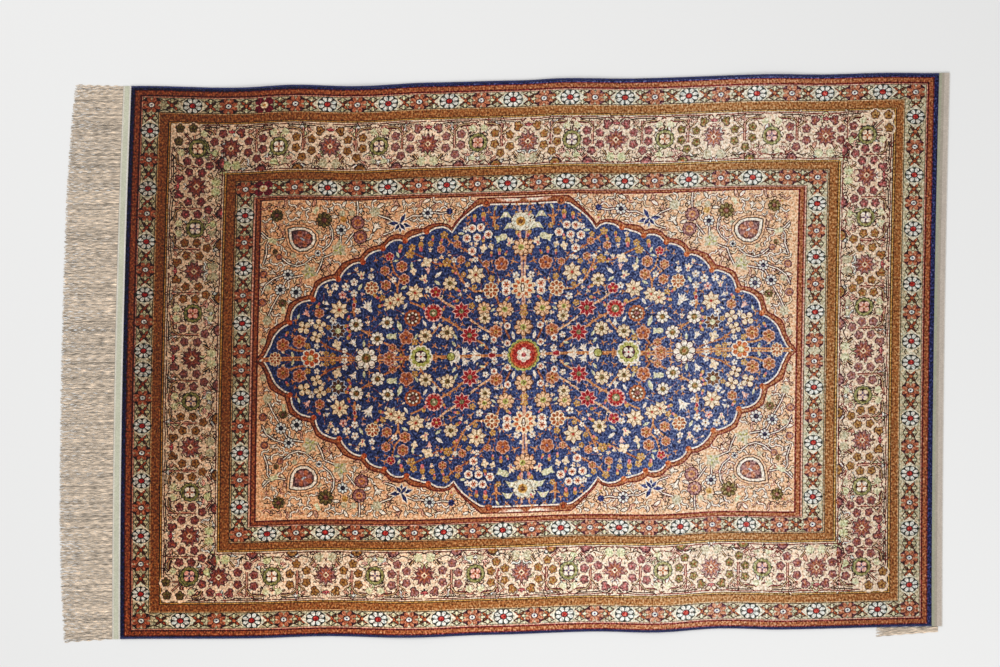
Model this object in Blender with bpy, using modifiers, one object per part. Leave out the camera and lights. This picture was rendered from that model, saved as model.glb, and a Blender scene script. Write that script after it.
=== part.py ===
"""A hand-knotted silk rug, lying face up and flat on the surface it rests on.

The long side runs along X, with the fringe at -X and the turned-under end at +X.
The rug is seven pieces: the pile panel, an overcast cord down each long side, a flat-woven
band and a fringe at one end, and at the other a flat-woven end folded under, from whose
corner one lock of its own fringe comes out.
"""

import math
import random

import bmesh
import bpy

# Driving sizes, in metres
PILE_LENGTH = 1.500
PILE_WIDTH = 1.025
PILE_THICKNESS = 0.0040
CORD_DIAMETER = 0.0044
BAND_WIDTH = 0.0150
BAND_THICKNESS = 0.0016
TURNED_WIDTH = 0.0200
TURNED_LAYER = 0.0013
TURNED_LAYER_GAP = 0.0004
SEAM_GAP = 0.0003

# How far the far corners lie to +X of the near ones, and how far each end bows to -X
FRINGE_END_LEAN = 0.0374
TURNED_END_LEAN = 0.0306
FRINGE_END_BOW = 0.0055
TURNED_END_BOW = 0.0032

# Fringe of the flat end
STRAND_COUNT = 200
STRAND_SHARE = 0.56
STRAND_STEPS = 4
STRAND_TIP_SHARE = 0.62
STRAND_SWAY = 0.0011
STRAND_TURN = 3.2
STRAND_DRIFT = 0.35
STRAND_SCATTER = 0.25
STRAND_SEED = 11
STRIP_WIDTH = 0.0060
FRINGE_THICKNESS = 0.0016
FRINGE_MIDDLE_REACH = 0.1160
FRINGE_CORNER_REACH = 0.1060
FRINGE_RAGGED = 0.0045
FRINGE_FLARE = 0.0030

# Lock of fringe at the corner of the turned end
TUFT_STRANDS = 7
TUFT_STEPS = 5
TUFT_TIP_SHARE = 0.45
TUFT_WIDTH = 0.0180
TUFT_LENGTH = 0.1120
TUFT_STRIP = 0.0050
TUFT_STRIP_OUT = 0.0120
TUFT_SPREAD = 0.0022
TUFT_RAGGED = 0.0180

# Cells along and across each sheet
PANEL_CELLS = (36, 24)
BAND_CELLS = 24
CORD_STEPS = 44
FOLD_STEPS = 5

# How far the two long sides wander outwards: place from 0 at the fringe to 1, metres
FAR_SIDE_WAVES = (
    (0.000, 0.0000),
    (0.135, -0.0062),
    (0.200, -0.0024),
    (0.280, -0.0070),
    (0.370, -0.0024),
    (0.480, -0.0010),
    (0.535, 0.0016),
    (0.620, -0.0010),
    (0.790, 0.0028),
    (0.860, 0.0008),
    (0.930, 0.0020),
    (1.000, 0.0000),
)
NEAR_SIDE_WAVES = (
    (0.000, 0.0000),
    (0.165, 0.0026),
    (0.245, 0.0006),
    (0.360, 0.0060),
    (0.460, 0.0030),
    (0.580, 0.0000),
    (0.660, 0.0036),
    (0.740, -0.0018),
    (0.820, 0.0020),
    (1.000, 0.0000),
)

# Low ripples where the sheet stands off the floor: place along and across, reach, height
RIPPLES = (
    (0.150, 1.00, 0.060, 0.110, 0.0020),
    (0.285, 1.00, 0.055, 0.120, 0.0024),
    (0.560, 1.00, 0.070, 0.090, 0.0014),
    (0.790, 1.00, 0.075, 0.120, 0.0022),
    (0.360, 0.00, 0.070, 0.100, 0.0018),
    (0.660, 0.00, 0.060, 0.090, 0.0016),
)

# Base colour and roughness of each material
MATERIALS = {
    "silk_pile": ((0.085, 0.070, 0.110), 0.60),
    "navy_silk": ((0.020, 0.030, 0.110), 0.55),
    "ivory_warp": ((0.560, 0.520, 0.420), 0.70),
}


def eased(table, place):
    """Value of a two-column table at a place, eased smoothly from row to row."""
    for (start, first), (end, second) in zip(table, table[1:]):
        if place <= end:
            share = max(0.0, (place - start) / (end - start))
            blend = 0.5 - 0.5 * math.cos(math.pi * share)
            return first + (second - first) * blend
    return table[-1][1]


def end_x(side, across):
    """X of the pile's end: side -1 at the fringe, +1 at the turned end."""
    centred = 2.0 * across - 1.0
    lean = FRINGE_END_LEAN if side < 0 else TURNED_END_LEAN
    bow = FRINGE_END_BOW if side < 0 else TURNED_END_BOW
    return side * PILE_LENGTH / 2 + lean * centred / 2 - bow * (1.0 - centred * centred)


def side_y(side, along):
    """Y of the rug's long side: side -1 near, +1 far."""
    waves = FAR_SIDE_WAVES if side > 0 else NEAR_SIDE_WAVES
    return side * (PILE_WIDTH / 2 + eased(waves, along))


def rug_point(along, across):
    """Point of the rug's face, from 0 to 1 along from the fringe and across from the near side."""
    low_x, high_x = end_x(-1, across), end_x(1, across)
    low_y, high_y = side_y(-1, along), side_y(1, along)
    return low_x + along * (high_x - low_x), low_y + across * (high_y - low_y)


def lift(along, across):
    """Height of the rug's underside above the floor."""
    height = 0.0
    for at_along, at_across, reach_along, reach_across, top in RIPPLES:
        far = ((along - at_along) / reach_along) ** 2 + ((across - at_across) / reach_across) ** 2
        if far < 1.0:
            height += top * (1.0 - far) ** 2
    return height


def fringe_reach(across):
    """Distance from the pile's end to the fringe's mean tips."""
    centred = abs(2.0 * across - 1.0)
    return FRINGE_MIDDLE_REACH + (FRINGE_CORNER_REACH - FRINGE_MIDDLE_REACH) * centred ** 4


def middle_x():
    """Half way between the fringe's furthest tips and the turned end."""
    places = [number / 40 for number in range(41)]
    low = min(end_x(-1, across) - fringe_reach(across) for across in places)
    high = max(end_x(1, across) for across in places) + SEAM_GAP + TURNED_WIDTH
    return (low + high) / 2


def middle_y():
    """Half way between the far side and the lock at the near corner."""
    places = [number / 200 for number in range(201)]
    high = max(side_y(1, along) for along in places)
    low = side_y(-1, 1.0) - SEAM_GAP - TUFT_WIDTH - TUFT_SPREAD
    return (low + high) / 2


ORIGIN = (-middle_x(), -middle_y(), 0.0)


def clear_scene():
    """Removes every object the file opens with."""
    for item in list(bpy.data.objects):
        bpy.data.objects.remove(item, do_unlink=True)


def new_collection(name):
    """A collection of the given name, linked to the scene."""
    made = bpy.data.collections.new(name)
    bpy.context.scene.collection.children.link(made)
    return made


def make_material(name):
    """One Principled material from the table."""
    colour, roughness = MATERIALS[name]
    made = bpy.data.materials.new(name)
    made.use_nodes = True
    shader = made.node_tree.nodes["Principled BSDF"]
    shader.inputs["Base Color"].default_value = (*colour, 1.0)
    shader.inputs["Roughness"].default_value = roughness
    shader.inputs["Metallic"].default_value = 0.0
    return made


def add_object(name, data, material, collection):
    """Puts mesh or curve data in the collection under its node name."""
    made = bpy.data.objects.new(name, data)
    made.location = ORIGIN
    data.materials.append(material)
    collection.objects.link(made)
    return made


def warped_grid(columns, rows, place):
    """A grid of columns by rows cells whose points are given by place(column, row)."""
    cage = bmesh.new()
    bmesh.ops.create_grid(cage, x_segments=columns, y_segments=rows, size=0.5)
    for point in cage.verts:
        column = point.co.x + 0.5
        row = point.co.y + 0.5
        point.co = place(column, row)
    return cage


def sheet_object(name, cage, thickness, material, collection):
    """A sheet that Solidify thickens upwards from its underside."""
    cage.normal_update()
    downward = [face for face in cage.faces if face.normal.z < 0.0]
    bmesh.ops.reverse_faces(cage, faces=downward)
    mesh = bpy.data.meshes.new(name)
    cage.to_mesh(mesh)
    cage.free()
    made = add_object(name, mesh, material, collection)
    solid = made.modifiers.new("thickness", "SOLIDIFY")
    solid.thickness = thickness
    solid.offset = 1.0
    return made


def make_panel(material, collection):
    """The knotted pile panel, inside the two side cords."""
    inset = (CORD_DIAMETER + SEAM_GAP) / PILE_WIDTH

    def place(column, row):
        across = inset + row * (1.0 - 2.0 * inset)
        x, y = rug_point(column, across)
        return x, y, lift(column, across)

    cage = warped_grid(*PANEL_CELLS, place)
    return sheet_object("pile_panel", cage, PILE_THICKNESS, material, collection)


def make_side_cord(name, side, material, collection):
    """The overcast cord along one long side, a round tube lying on the floor."""
    curve = bpy.data.curves.new(name, "CURVE")
    curve.dimensions = "3D"
    curve.bevel_depth = CORD_DIAMETER / 2
    curve.bevel_resolution = 1
    curve.use_fill_caps = True
    line = curve.splines.new("POLY")
    line.points.add(CORD_STEPS)
    across = 0.5 + 0.5 * side * (1.0 - CORD_DIAMETER / PILE_WIDTH)
    for number, point in enumerate(line.points):
        along = number / CORD_STEPS
        x, y = rug_point(along, across)
        point.co = (x, y, lift(along, across) + CORD_DIAMETER / 2, 1.0)
    return add_object(name, curve, material, collection)


def end_y(side, across):
    """Y at a place across one end."""
    along = 0.5 + 0.5 * side
    return side_y(-1, along) * (1.0 - across) + side_y(1, along) * across


def make_flat_band(material, collection):
    """The flat-woven band between the pile and the fringe."""

    def place(column, row):
        return end_x(-1, row) - SEAM_GAP - column * BAND_WIDTH, end_y(-1, row), 0.0

    cage = warped_grid(1, BAND_CELLS, place)
    return sheet_object("flat_band", cage, BAND_THICKNESS, material, collection)


def make_turned_end(material, collection):
    """The flat-woven end folded under: two layers joined by a round fold at +X."""
    fold_radius = (TURNED_LAYER + TURNED_LAYER_GAP) / 2
    reach = TURNED_WIDTH - fold_radius - TURNED_LAYER / 2

    def fold_point(step):
        """Offset from the pile's end and height along the folded sheet's middle."""
        if step < 0:
            return 0.0, 0.0
        if step > FOLD_STEPS:
            return 0.0, 2 * fold_radius
        turn = math.pi * step / FOLD_STEPS
        return reach + fold_radius * math.sin(turn), fold_radius * (1.0 - math.cos(turn))

    def place(column, row):
        out, height = fold_point(round(column * columns) - 1)
        return end_x(1, row) + SEAM_GAP + out, end_y(1, row), height + TURNED_LAYER / 2

    columns = FOLD_STEPS + 2
    cage = warped_grid(columns, BAND_CELLS, place)
    mesh = bpy.data.meshes.new("turned_end")
    cage.to_mesh(mesh)
    cage.free()
    made = add_object("turned_end", mesh, material, collection)
    solid = made.modifiers.new("thickness", "SOLIDIFY")
    solid.thickness = TURNED_LAYER
    solid.offset = 0.0
    return made


def strip_with_strands(name, edges, root_x, strip_width, steps, moved):
    """A narrow strip whose odd cells are drawn out into strands.

    edges are the Y values between cells and root_x(y) is the X of the strip's strand side.
    moved(strand, step, corner, centre) is where a corner of a strand's end face goes next.
    """
    cells = len(edges) - 1

    def place(column, row):
        y = edges[round(row * cells)]
        return root_x(y) + column * strip_width, y, 0.0

    cage = warped_grid(1, cells, place)
    bmesh.ops.recalc_face_normals(cage, faces=cage.faces[:])
    bmesh.ops.solidify(cage, geom=cage.faces[:], thickness=FRINGE_THICKNESS)
    lowest = min(point.co.z for point in cage.verts)
    bmesh.ops.translate(cage, vec=(0.0, 0.0, -lowest), verts=cage.verts[:])
    bmesh.ops.recalc_face_normals(cage, faces=cage.faces[:])
    front = [face for face in cage.faces if face.normal.x < -0.9]
    front.sort(key=lambda face: face.calc_center_median().y)
    ends = front[1::2]
    for step in range(steps):
        ends = bmesh.ops.extrude_discrete_faces(cage, faces=ends)["faces"]
        ends.sort(key=lambda face: face.calc_center_median().y)
        for strand, face in enumerate(ends):
            centre = face.calc_center_median()
            for corner in face.verts:
                corner.co = moved(strand, step, corner.co, centre)
    bmesh.ops.recalc_face_normals(cage, faces=cage.faces[:])
    mesh = bpy.data.meshes.new(name)
    cage.to_mesh(mesh)
    cage.free()
    return mesh


def cell_edges(low, high, strands, share):
    """Edges of the cells across a strip: a strand in every second cell, a gap between."""
    pitch = (high - low) / (strands + (1.0 - share))
    gap = pitch * (1.0 - share)
    edges = [low]
    for _ in range(strands):
        edges.append(edges[-1] + gap)
        edges.append(edges[-1] + pitch * share)
    edges.append(high)
    return edges


def make_fringe(material, collection):
    """The long fringe, its strands fused at a narrow strip against the flat-woven band."""
    chance = random.Random(STRAND_SEED)
    low, high = end_y(-1, 0.0), end_y(-1, 1.0)
    edges = cell_edges(low, high, STRAND_COUNT, STRAND_SHARE)
    inner = 2 * SEAM_GAP + BAND_WIDTH + STRIP_WIDTH
    ragged = [chance.uniform(-1.0, 0.0) * FRINGE_RAGGED for _ in range(STRAND_COUNT)]
    scatter = [chance.uniform(-1.0, 1.0) * STRAND_SCATTER for _ in range(STRAND_COUNT)]

    def across_of(y):
        return (y - low) / (high - low)

    def root_x(y):
        return end_x(-1, across_of(y)) - inner

    def sway(strand, step):
        phase = STRAND_DRIFT * strand + scatter[strand]
        return STRAND_SWAY * math.sin(phase + STRAND_TURN * step / STRAND_STEPS)

    def moved(strand, step, corner, centre):
        across = across_of(centre.y)
        length = fringe_reach(across) + ragged[strand] - inner
        narrow = STRAND_TIP_SHARE ** (1 / STRAND_STEPS)
        flare = FRINGE_FLARE * (2.0 * across - 1.0) ** 5 / STRAND_STEPS
        shift = sway(strand, step + 1) - sway(strand, step) + flare
        y = centre.y + (corner.y - centre.y) * narrow + shift
        return corner.x - length / STRAND_STEPS, y, corner.z

    mesh = strip_with_strands("fringe", edges, root_x, STRIP_WIDTH, STRAND_STEPS, moved)
    return add_object("fringe", mesh, material, collection)


def make_corner_tuft(material, collection):
    """The lock that comes out beside the turned end and lies along the near side."""
    high = side_y(-1, 1.0) - SEAM_GAP
    low = high - TUFT_WIDTH
    edges = cell_edges(low, high, TUFT_STRANDS, STRAND_SHARE)
    strip_end = end_x(1, 0.0) + TUFT_STRIP_OUT

    def root_x(_):
        return strip_end - TUFT_STRIP

    def moved(strand, _, corner, centre):
        outer = 1.0 - strand / (TUFT_STRANDS - 1)
        length = TUFT_LENGTH - TUFT_RAGGED * (strand * 3 % TUFT_STRANDS) / TUFT_STRANDS
        narrow = TUFT_TIP_SHARE ** (1 / TUFT_STEPS)
        y = centre.y + (corner.y - centre.y) * narrow - TUFT_SPREAD * outer / TUFT_STEPS
        return corner.x - length / TUFT_STEPS, y, corner.z

    mesh = strip_with_strands("corner_tuft", edges, root_x, TUFT_STRIP, TUFT_STEPS, moved)
    return add_object("corner_tuft", mesh, material, collection)


def build_rug():
    """Builds the seven pieces of the rug."""
    clear_scene()
    collection = new_collection("silk_rug")
    pile = make_material("silk_pile")
    navy = make_material("navy_silk")
    warp = make_material("ivory_warp")
    make_panel(pile, collection)
    make_side_cord("side_cord_far", 1, navy, collection)
    make_side_cord("side_cord_near", -1, navy, collection)
    make_flat_band(warp, collection)
    make_turned_end(warp, collection)
    make_fringe(warp, collection)
    make_corner_tuft(warp, collection)


build_rug()
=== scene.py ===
"""Looks of a hand-knotted silk rug: its knotted design, flat-woven ends, side cords and fringe.

The design is charted in squares of the rug's own grid, 809 along from the fringe end and 552.8
across from the near side. Flat shapes are painted one over another on the chart, cut into one
clean mesh, and laid on the rug's handmade outline.
"""

import cmath
import math
import random

import bmesh
import bpy
import numpy as np
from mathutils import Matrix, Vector
from mathutils.geometry import delaunay_2d_cdt


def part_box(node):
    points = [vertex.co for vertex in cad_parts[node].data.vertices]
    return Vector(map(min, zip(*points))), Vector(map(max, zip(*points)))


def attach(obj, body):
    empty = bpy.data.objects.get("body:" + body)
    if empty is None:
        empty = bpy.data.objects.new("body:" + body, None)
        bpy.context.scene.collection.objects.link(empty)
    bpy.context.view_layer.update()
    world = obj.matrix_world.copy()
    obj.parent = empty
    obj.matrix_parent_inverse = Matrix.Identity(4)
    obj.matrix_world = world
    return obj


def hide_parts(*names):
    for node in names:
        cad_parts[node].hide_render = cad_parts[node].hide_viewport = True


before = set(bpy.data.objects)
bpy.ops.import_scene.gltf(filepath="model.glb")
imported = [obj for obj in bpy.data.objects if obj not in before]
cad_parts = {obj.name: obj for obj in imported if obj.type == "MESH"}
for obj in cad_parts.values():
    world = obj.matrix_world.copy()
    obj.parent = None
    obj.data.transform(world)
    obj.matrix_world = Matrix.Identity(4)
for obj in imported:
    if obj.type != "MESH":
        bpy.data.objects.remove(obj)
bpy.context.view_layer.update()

# Sizes of the solids, in metres
PILE_LENGTH = 1.500
PILE_WIDTH = 1.025
PILE_THICKNESS = 0.0040
CORD_DIAMETER = 0.0044
BAND_WIDTH = 0.0150
SEAM_GAP = 0.0003
FRINGE_END_LEAN = 0.0374
TURNED_END_LEAN = 0.0306
FRINGE_END_BOW = 0.0055
TURNED_END_BOW = 0.0032
FRINGE_MIDDLE_REACH = 0.1160
FRINGE_CORNER_REACH = 0.1060

# How far the two long sides wander outwards: place from 0 at the fringe to 1, metres
FAR_SIDE_WAVES = (
    (0.000, 0.0000),
    (0.135, -0.0062),
    (0.200, -0.0024),
    (0.280, -0.0070),
    (0.370, -0.0024),
    (0.480, -0.0010),
    (0.535, 0.0016),
    (0.620, -0.0010),
    (0.790, 0.0028),
    (0.860, 0.0008),
    (0.930, 0.0020),
    (1.000, 0.0000),
)
NEAR_SIDE_WAVES = (
    (0.000, 0.0000),
    (0.165, 0.0026),
    (0.245, 0.0006),
    (0.360, 0.0060),
    (0.460, 0.0030),
    (0.580, 0.0000),
    (0.660, 0.0036),
    (0.740, -0.0018),
    (0.820, 0.0020),
    (1.000, 0.0000),
)

# Low ripples where the sheet stands off the floor: place along and across, reach, height
RIPPLES = (
    (0.150, 1.00, 0.060, 0.110, 0.0020),
    (0.285, 1.00, 0.055, 0.120, 0.0024),
    (0.560, 1.00, 0.070, 0.090, 0.0014),
    (0.790, 1.00, 0.075, 0.120, 0.0022),
    (0.360, 0.00, 0.070, 0.100, 0.0018),
    (0.660, 0.00, 0.060, 0.090, 0.0016),
)

TUFT_WIDTH = 0.0180
TUFT_LENGTH = 0.1120
TUFT_STRIP_OUT = 0.0120
FRINGE_FLARE = 0.0030
TURNED_WIDTH = 0.0200

# The chart
CHART_LENGTH = 809.0
SQUARE = PILE_LENGTH / CHART_LENGTH
CHART_WIDTH = PILE_WIDTH / SQUARE
CORD_SQUARES = (CORD_DIAMETER + SEAM_GAP) / SQUARE
SEAM_COLUMN = 404.5
SEAM_ROW = 276.4
GRID_STEP = 15.0
GRID_BANDS = ((0.0, 46.0), (84.0, 140.0))
JOIN_SLACK = 0.1
RIM_SLACK = 0.0001
EDGE_SLACK = 0.01
UV_MARGIN = 0.002
OUTSIDE = -1
EDGE_ROUND = 1.3
EDGE_DROP = 0.0012
SKIRT_FOOT = 0.0003
WELD = 0.0005
KNOT = 0.0014

# Fineness and relief of the cords, the woven strips and the fringe
WRAP_STEP = 0.0024
WRAP_RINGS = 3
CORD_SIDES = 8
STRIP_ROWS = 260
FRINGE_YARNS = 1450
FRINGE_BUNCHES = 210
FRINGE_STEPS = 21
TUFT_YARNS = 74
TUFT_STEPS = 16
WRAP_WAIST = 0.86
WEAVE_WAVE = 0.0001
PICK_LENGTH = 0.0022
PICK_WIDTH = 0.0012

# Tone and lie of the yarns, lengths in metres
YARN_TONE = (213, 198, 180)
# Random tones of single yarns: partly their own tone, the darkest also painted shadow between yarns
YARN_SHADES = (1.08, 1.02, 0.98, 1.05, 0.92, 0.78)
YARN_LAYER = 0.0006
YARN_BOB = 0.00025
YARN_TAPER = 0.25
YARN_FLATNESS = 0.8
YARN_LEAN = 1.6
KINK_LENGTH = 0.0185
KINK_DRIFT = 0.003
BUNCH_PULL = 0.15
UNEVEN_TIPS = 0.0055
TIP_SLACK = 0.0008

# Dyes of the silk, as sRGB values from 0 to 255
DYES = {
    "navy": (30, 36, 88),
    "blue": (44, 57, 104),
    "midnight": (18, 18, 44),
    "ink": (46, 24, 16),
    "ink_red": (92, 20, 18),
    "ink_green": (44, 48, 44),
    "umber": (88, 50, 26),
    "rust": (152, 87, 50),
    "salmon": (170, 104, 74),
    "dusk": (84, 56, 58),
    "amber": (150, 108, 54),
    "reed": (138, 136, 82),
    "ember": (176, 84, 40),
    "blush": (206, 158, 136),
    "sage": (188, 182, 154),
    "sand": (192, 160, 118),
    "brown": (146, 92, 46),
    "gold": (186, 142, 70),
    "ivory": (226, 206, 182),
    "white": (232, 224, 210),
    "frost": (216, 220, 216),
    "peach": (222, 180, 142),
    "orange": (188, 92, 48),
    "tan": (190, 128, 78),
    "red": (168, 44, 36),
    "scarlet": (148, 22, 32),
    "crimson": (112, 18, 38),
    "plum": (134, 76, 72),
    "mauve": (146, 98, 94),
    "rose": (200, 104, 106),
    "pink": (224, 176, 162),
    "olive": (106, 92, 44),
    "moss": (118, 116, 76),
    "mint": (198, 202, 160),
    "lime": (170, 172, 92),
    "pale_green": (206, 206, 172),
    "pale_blue": (190, 198, 208),
    "cream": (228, 208, 176),
    "violet": (108, 84, 112),
    "copper": (160, 84, 46),
    "halo": (214, 212, 194),
    "wine": (56, 20, 30),
    "slate": (58, 44, 58),
}
BAND_TONES = {
    "white": (216, 210, 202),
    "green": (192, 192, 170),
    "ivory": (208, 202, 188),
    "beige": (162, 152, 138),
    "pink": (184, 172, 160),
    "grey_green": (156, 156, 134),
}
DYE_NAMES = list(DYES)


def linear(value):
    """Linear light of one sRGB value from 0 to 255."""
    share = value / 255.0
    if share <= 0.04045:
        return share / 12.92
    return ((share + 0.055) / 1.055) ** 2.4


def eased(table, place):
    """Values of a two-column table at places, eased smoothly from row to row."""
    places, values = np.array(table).T
    row = np.clip(np.searchsorted(places, place), 1, len(places) - 1)
    share = np.clip((place - places[row - 1]) / (places[row] - places[row - 1]), 0.0, 1.0)
    blend = 0.5 - 0.5 * np.cos(math.pi * share)
    return values[row - 1] + (values[row] - values[row - 1]) * blend


def end_x(side, across):
    """X of the pile's end: side -1 at the fringe, +1 at the turned end."""
    centred = 2.0 * across - 1.0
    lean = FRINGE_END_LEAN if side < 0 else TURNED_END_LEAN
    bow = FRINGE_END_BOW if side < 0 else TURNED_END_BOW
    return side * PILE_LENGTH / 2 + lean * centred / 2 - bow * (1.0 - centred * centred)


def side_y(side, along):
    """Y of the rug's long side: side -1 near, +1 far."""
    waves = FAR_SIDE_WAVES if side > 0 else NEAR_SIDE_WAVES
    return side * (PILE_WIDTH / 2 + eased(waves, along))


def end_y(side, across):
    """Y at a place across one end."""
    return side_y(-1, 0.5 + 0.5 * side) * (1.0 - across) + side_y(1, 0.5 + 0.5 * side) * across


def lift(along, across):
    """Height of the rug's underside above the floor."""
    height = 0.0 * along
    for at_along, at_across, reach_along, reach_across, top in RIPPLES:
        far = ((along - at_along) / reach_along) ** 2 + ((across - at_across) / reach_across) ** 2
        height = height + top * np.clip(1.0 - far, 0.0, 1.0) ** 2
    return height


def fringe_reach(across):
    """Distance from the pile's end to the fringe's mean tips."""
    centred = abs(2.0 * across - 1.0)
    return FRINGE_MIDDLE_REACH + (FRINGE_CORNER_REACH - FRINGE_MIDDLE_REACH) * centred ** 4


band_low, band_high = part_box("flat_band")
SHIFT_X = band_low[0] - (end_x(-1, 0.0) - SEAM_GAP - BAND_WIDTH)
SHIFT_Y = (band_low[1] + band_high[1]) / 2


def on_rug(along, across):
    """World X and Y of places from 0 to 1 along and across the pile."""
    low_x, high_x = end_x(-1, across), end_x(1, across)
    low_y, high_y = side_y(-1, along), side_y(1, along)
    x = low_x + along * (high_x - low_x) + SHIFT_X
    y = low_y + across * (high_y - low_y) + SHIFT_Y
    return x, y


# Camera: straight above, turned as the photograph shows the rug
PHOTO_WIDTH = 1000
VIEW_WIDTH = PHOTO_WIDTH * SQUARE
VIEW_TURN = math.radians(0.92)
VIEW_AIM = (-30.2 * SQUARE, 23.0 * SQUARE)
VIEW_HEIGHT = 4.0
SENSOR = 36.0


def add_camera():
    """The camera above the rug, with its place given from the pile's middle."""
    data = bpy.data.cameras.new("view")
    data.sensor_width = SENSOR
    data.lens = SENSOR * VIEW_HEIGHT / VIEW_WIDTH
    data.clip_end = 50.0
    camera = bpy.data.objects.new("view", data)
    camera.location = (VIEW_AIM[0] + SHIFT_X, VIEW_AIM[1] + SHIFT_Y, VIEW_HEIGHT)
    camera.rotation_euler = (0.0, 0.0, -VIEW_TURN)
    bpy.context.scene.collection.objects.link(camera)
    bpy.context.scene.camera = camera


def add_light(name, place, target, size, power):
    """One square area light that looks at a point."""
    data = bpy.data.lights.new(name, "AREA")
    data.shape = "SQUARE"
    data.size = size
    data.energy = power
    lamp = bpy.data.objects.new(name, data)
    lamp.location = place
    aim = Vector(target) - Vector(place)
    lamp.rotation_euler = aim.to_track_quat("-Z", "Y").to_euler()
    bpy.context.scene.collection.objects.link(lamp)


def add_studio():
    """Pale floor, soft world light and two large soft lamps."""
    bpy.context.scene.view_settings.view_transform = "Standard"
    world = bpy.data.worlds.new("studio")
    world.use_nodes = True
    sky = world.node_tree.nodes["Background"]
    sky.inputs["Color"].default_value = (1.0, 1.0, 1.0, 1.0)
    sky.inputs["Strength"].default_value = 0.56
    bpy.context.scene.world = world
    add_light("key", (-1.5, 1.7, 3.4), (0.0, 0.0, 0.0), 2.2, 55.0)
    add_light("fill", (1.0, -2.2, 2.8), (0.1, 0.0, 0.0), 1.8, 45.0)
    mesh = bpy.data.meshes.new("floor")
    plane = bmesh.new()
    bmesh.ops.create_grid(plane, x_segments=2, y_segments=2, size=6.0)
    plane.to_mesh(mesh)
    plane.free()
    floor = bpy.data.objects.new("floor", mesh)
    bpy.context.scene.collection.objects.link(floor)
    paint = bpy.data.materials.new("floor_paint")
    paint.use_nodes = True
    shader = paint.node_tree.nodes["Principled BSDF"]
    shader.inputs["Base Color"].default_value = (0.81, 0.81, 0.805, 1.0)
    shader.inputs["Roughness"].default_value = 0.9
    mesh.materials.append(paint)


# Painting on the chart. A point is a complex number: along + 1j * across.


class Chart:
    """Loops painted one over another, each with its dye. A plain chart has simpler flowers."""

    def __init__(self, plain=False):
        self.plain = plain
        self.loops = []
        self.dyes = []

    def paint(self, dye, loop):
        """Paints one closed loop of points, turned to run anticlockwise."""
        area = sum((a.conjugate() * b).imag for a, b in zip(loop, loop[1:] + loop[:1]))
        self.loops.append(loop if area > 0 else loop[::-1])
        self.dyes.append(DYE_NAMES.index(dye))

    def box(self, dye, low, high):
        """Paints a rectangle between two corners."""
        self.paint(dye, [low, complex(high.real, low.imag), high, complex(low.real, high.imag)])

    def line(self, dye, width, points):
        """Paints a ribbon of the given width along points, one quad to a stretch."""
        sides = []
        for number, point in enumerate(points):
            before = points[max(number - 1, 0)]
            after = points[min(number + 1, len(points) - 1)]
            run = after - before
            normal = 1j * run / max(abs(run), 1e-9) * width / 2
            sides.append((point + normal, point - normal))
        for (left, right), (next_left, next_right) in zip(sides, sides[1:]):
            self.paint(dye, [right, next_right, next_left, left])

    def disc(self, dye, place, radius, sides, turn=0.0):
        """Paints a regular loop round a placing's middle."""
        self.paint(dye, placed(place, ring(radius, sides, turn)))

    def lobes(self, dye, place, count, radius, depth, turn=0.0):
        """Paints a loop with round lobes."""
        self.paint(dye, placed(place, scallops(count, radius, depth, turn)))

    def petal(self, dye, place, angle, inner, outer, width, pointed=False):
        """Paints one petal."""
        self.paint(dye, placed(place, petal(angle, inner, outer, width, pointed)))

    def petals(self, dye, place, count, start, inner, outer, width, pointed=False):
        """Paints a full turn of petals, the first at a start angle."""
        for k in range(count):
            self.petal(dye, place, start + 360.0 * k / count, inner, outer, width, pointed)


def spot(centre, turn=0.0, size=1.0, across=None):
    """A placing that scales, turns by degrees, then moves to a centre."""
    spin = cmath.exp(1j * math.radians(turn))
    tall = size if across is None else across
    return lambda point: centre + spin * complex(point.real * size, point.imag * tall)


def placed(place, loop):
    """A loop moved by a placing."""
    return [place(point) for point in loop]


def within(outer, inner):
    """A placing inside another one."""
    return lambda point: outer(inner(point))


def ring(radius, sides, turn=0.0):
    """A regular loop."""
    return [cmath.rect(radius, math.radians(turn) + math.tau * k / sides) for k in range(sides)]


def scallops(count, radius, depth, turn=0.0):
    """A loop with round lobes, two points between lows."""
    loop = []
    step = math.tau / count
    for k in range(count):
        start = math.radians(turn) + k * step
        loop.append(cmath.rect(radius - depth, start - step / 2))
        loop.append(cmath.rect(radius, start - step / 5))
        loop.append(cmath.rect(radius, start + step / 5))
    return loop


def petal(angle, inner, outer, width, pointed=False):
    """One petal that points outwards at an angle in degrees."""
    long = outer - inner
    belly = 0.5 if pointed else 0.62
    right = [(inner, 0.22 * width), (inner + belly * long, 0.5 * width)]
    left = [(x, -y) for x, y in reversed(right)]
    near_tip = outer - 0.05 * long
    tip = [(outer, 0.0)] if pointed else [(near_tip, 0.26 * width), (near_tip, -0.26 * width)]
    spin = cmath.exp(1j * math.radians(angle))
    return [spin * complex(x, y) for x, y in right + tip + left]


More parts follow.
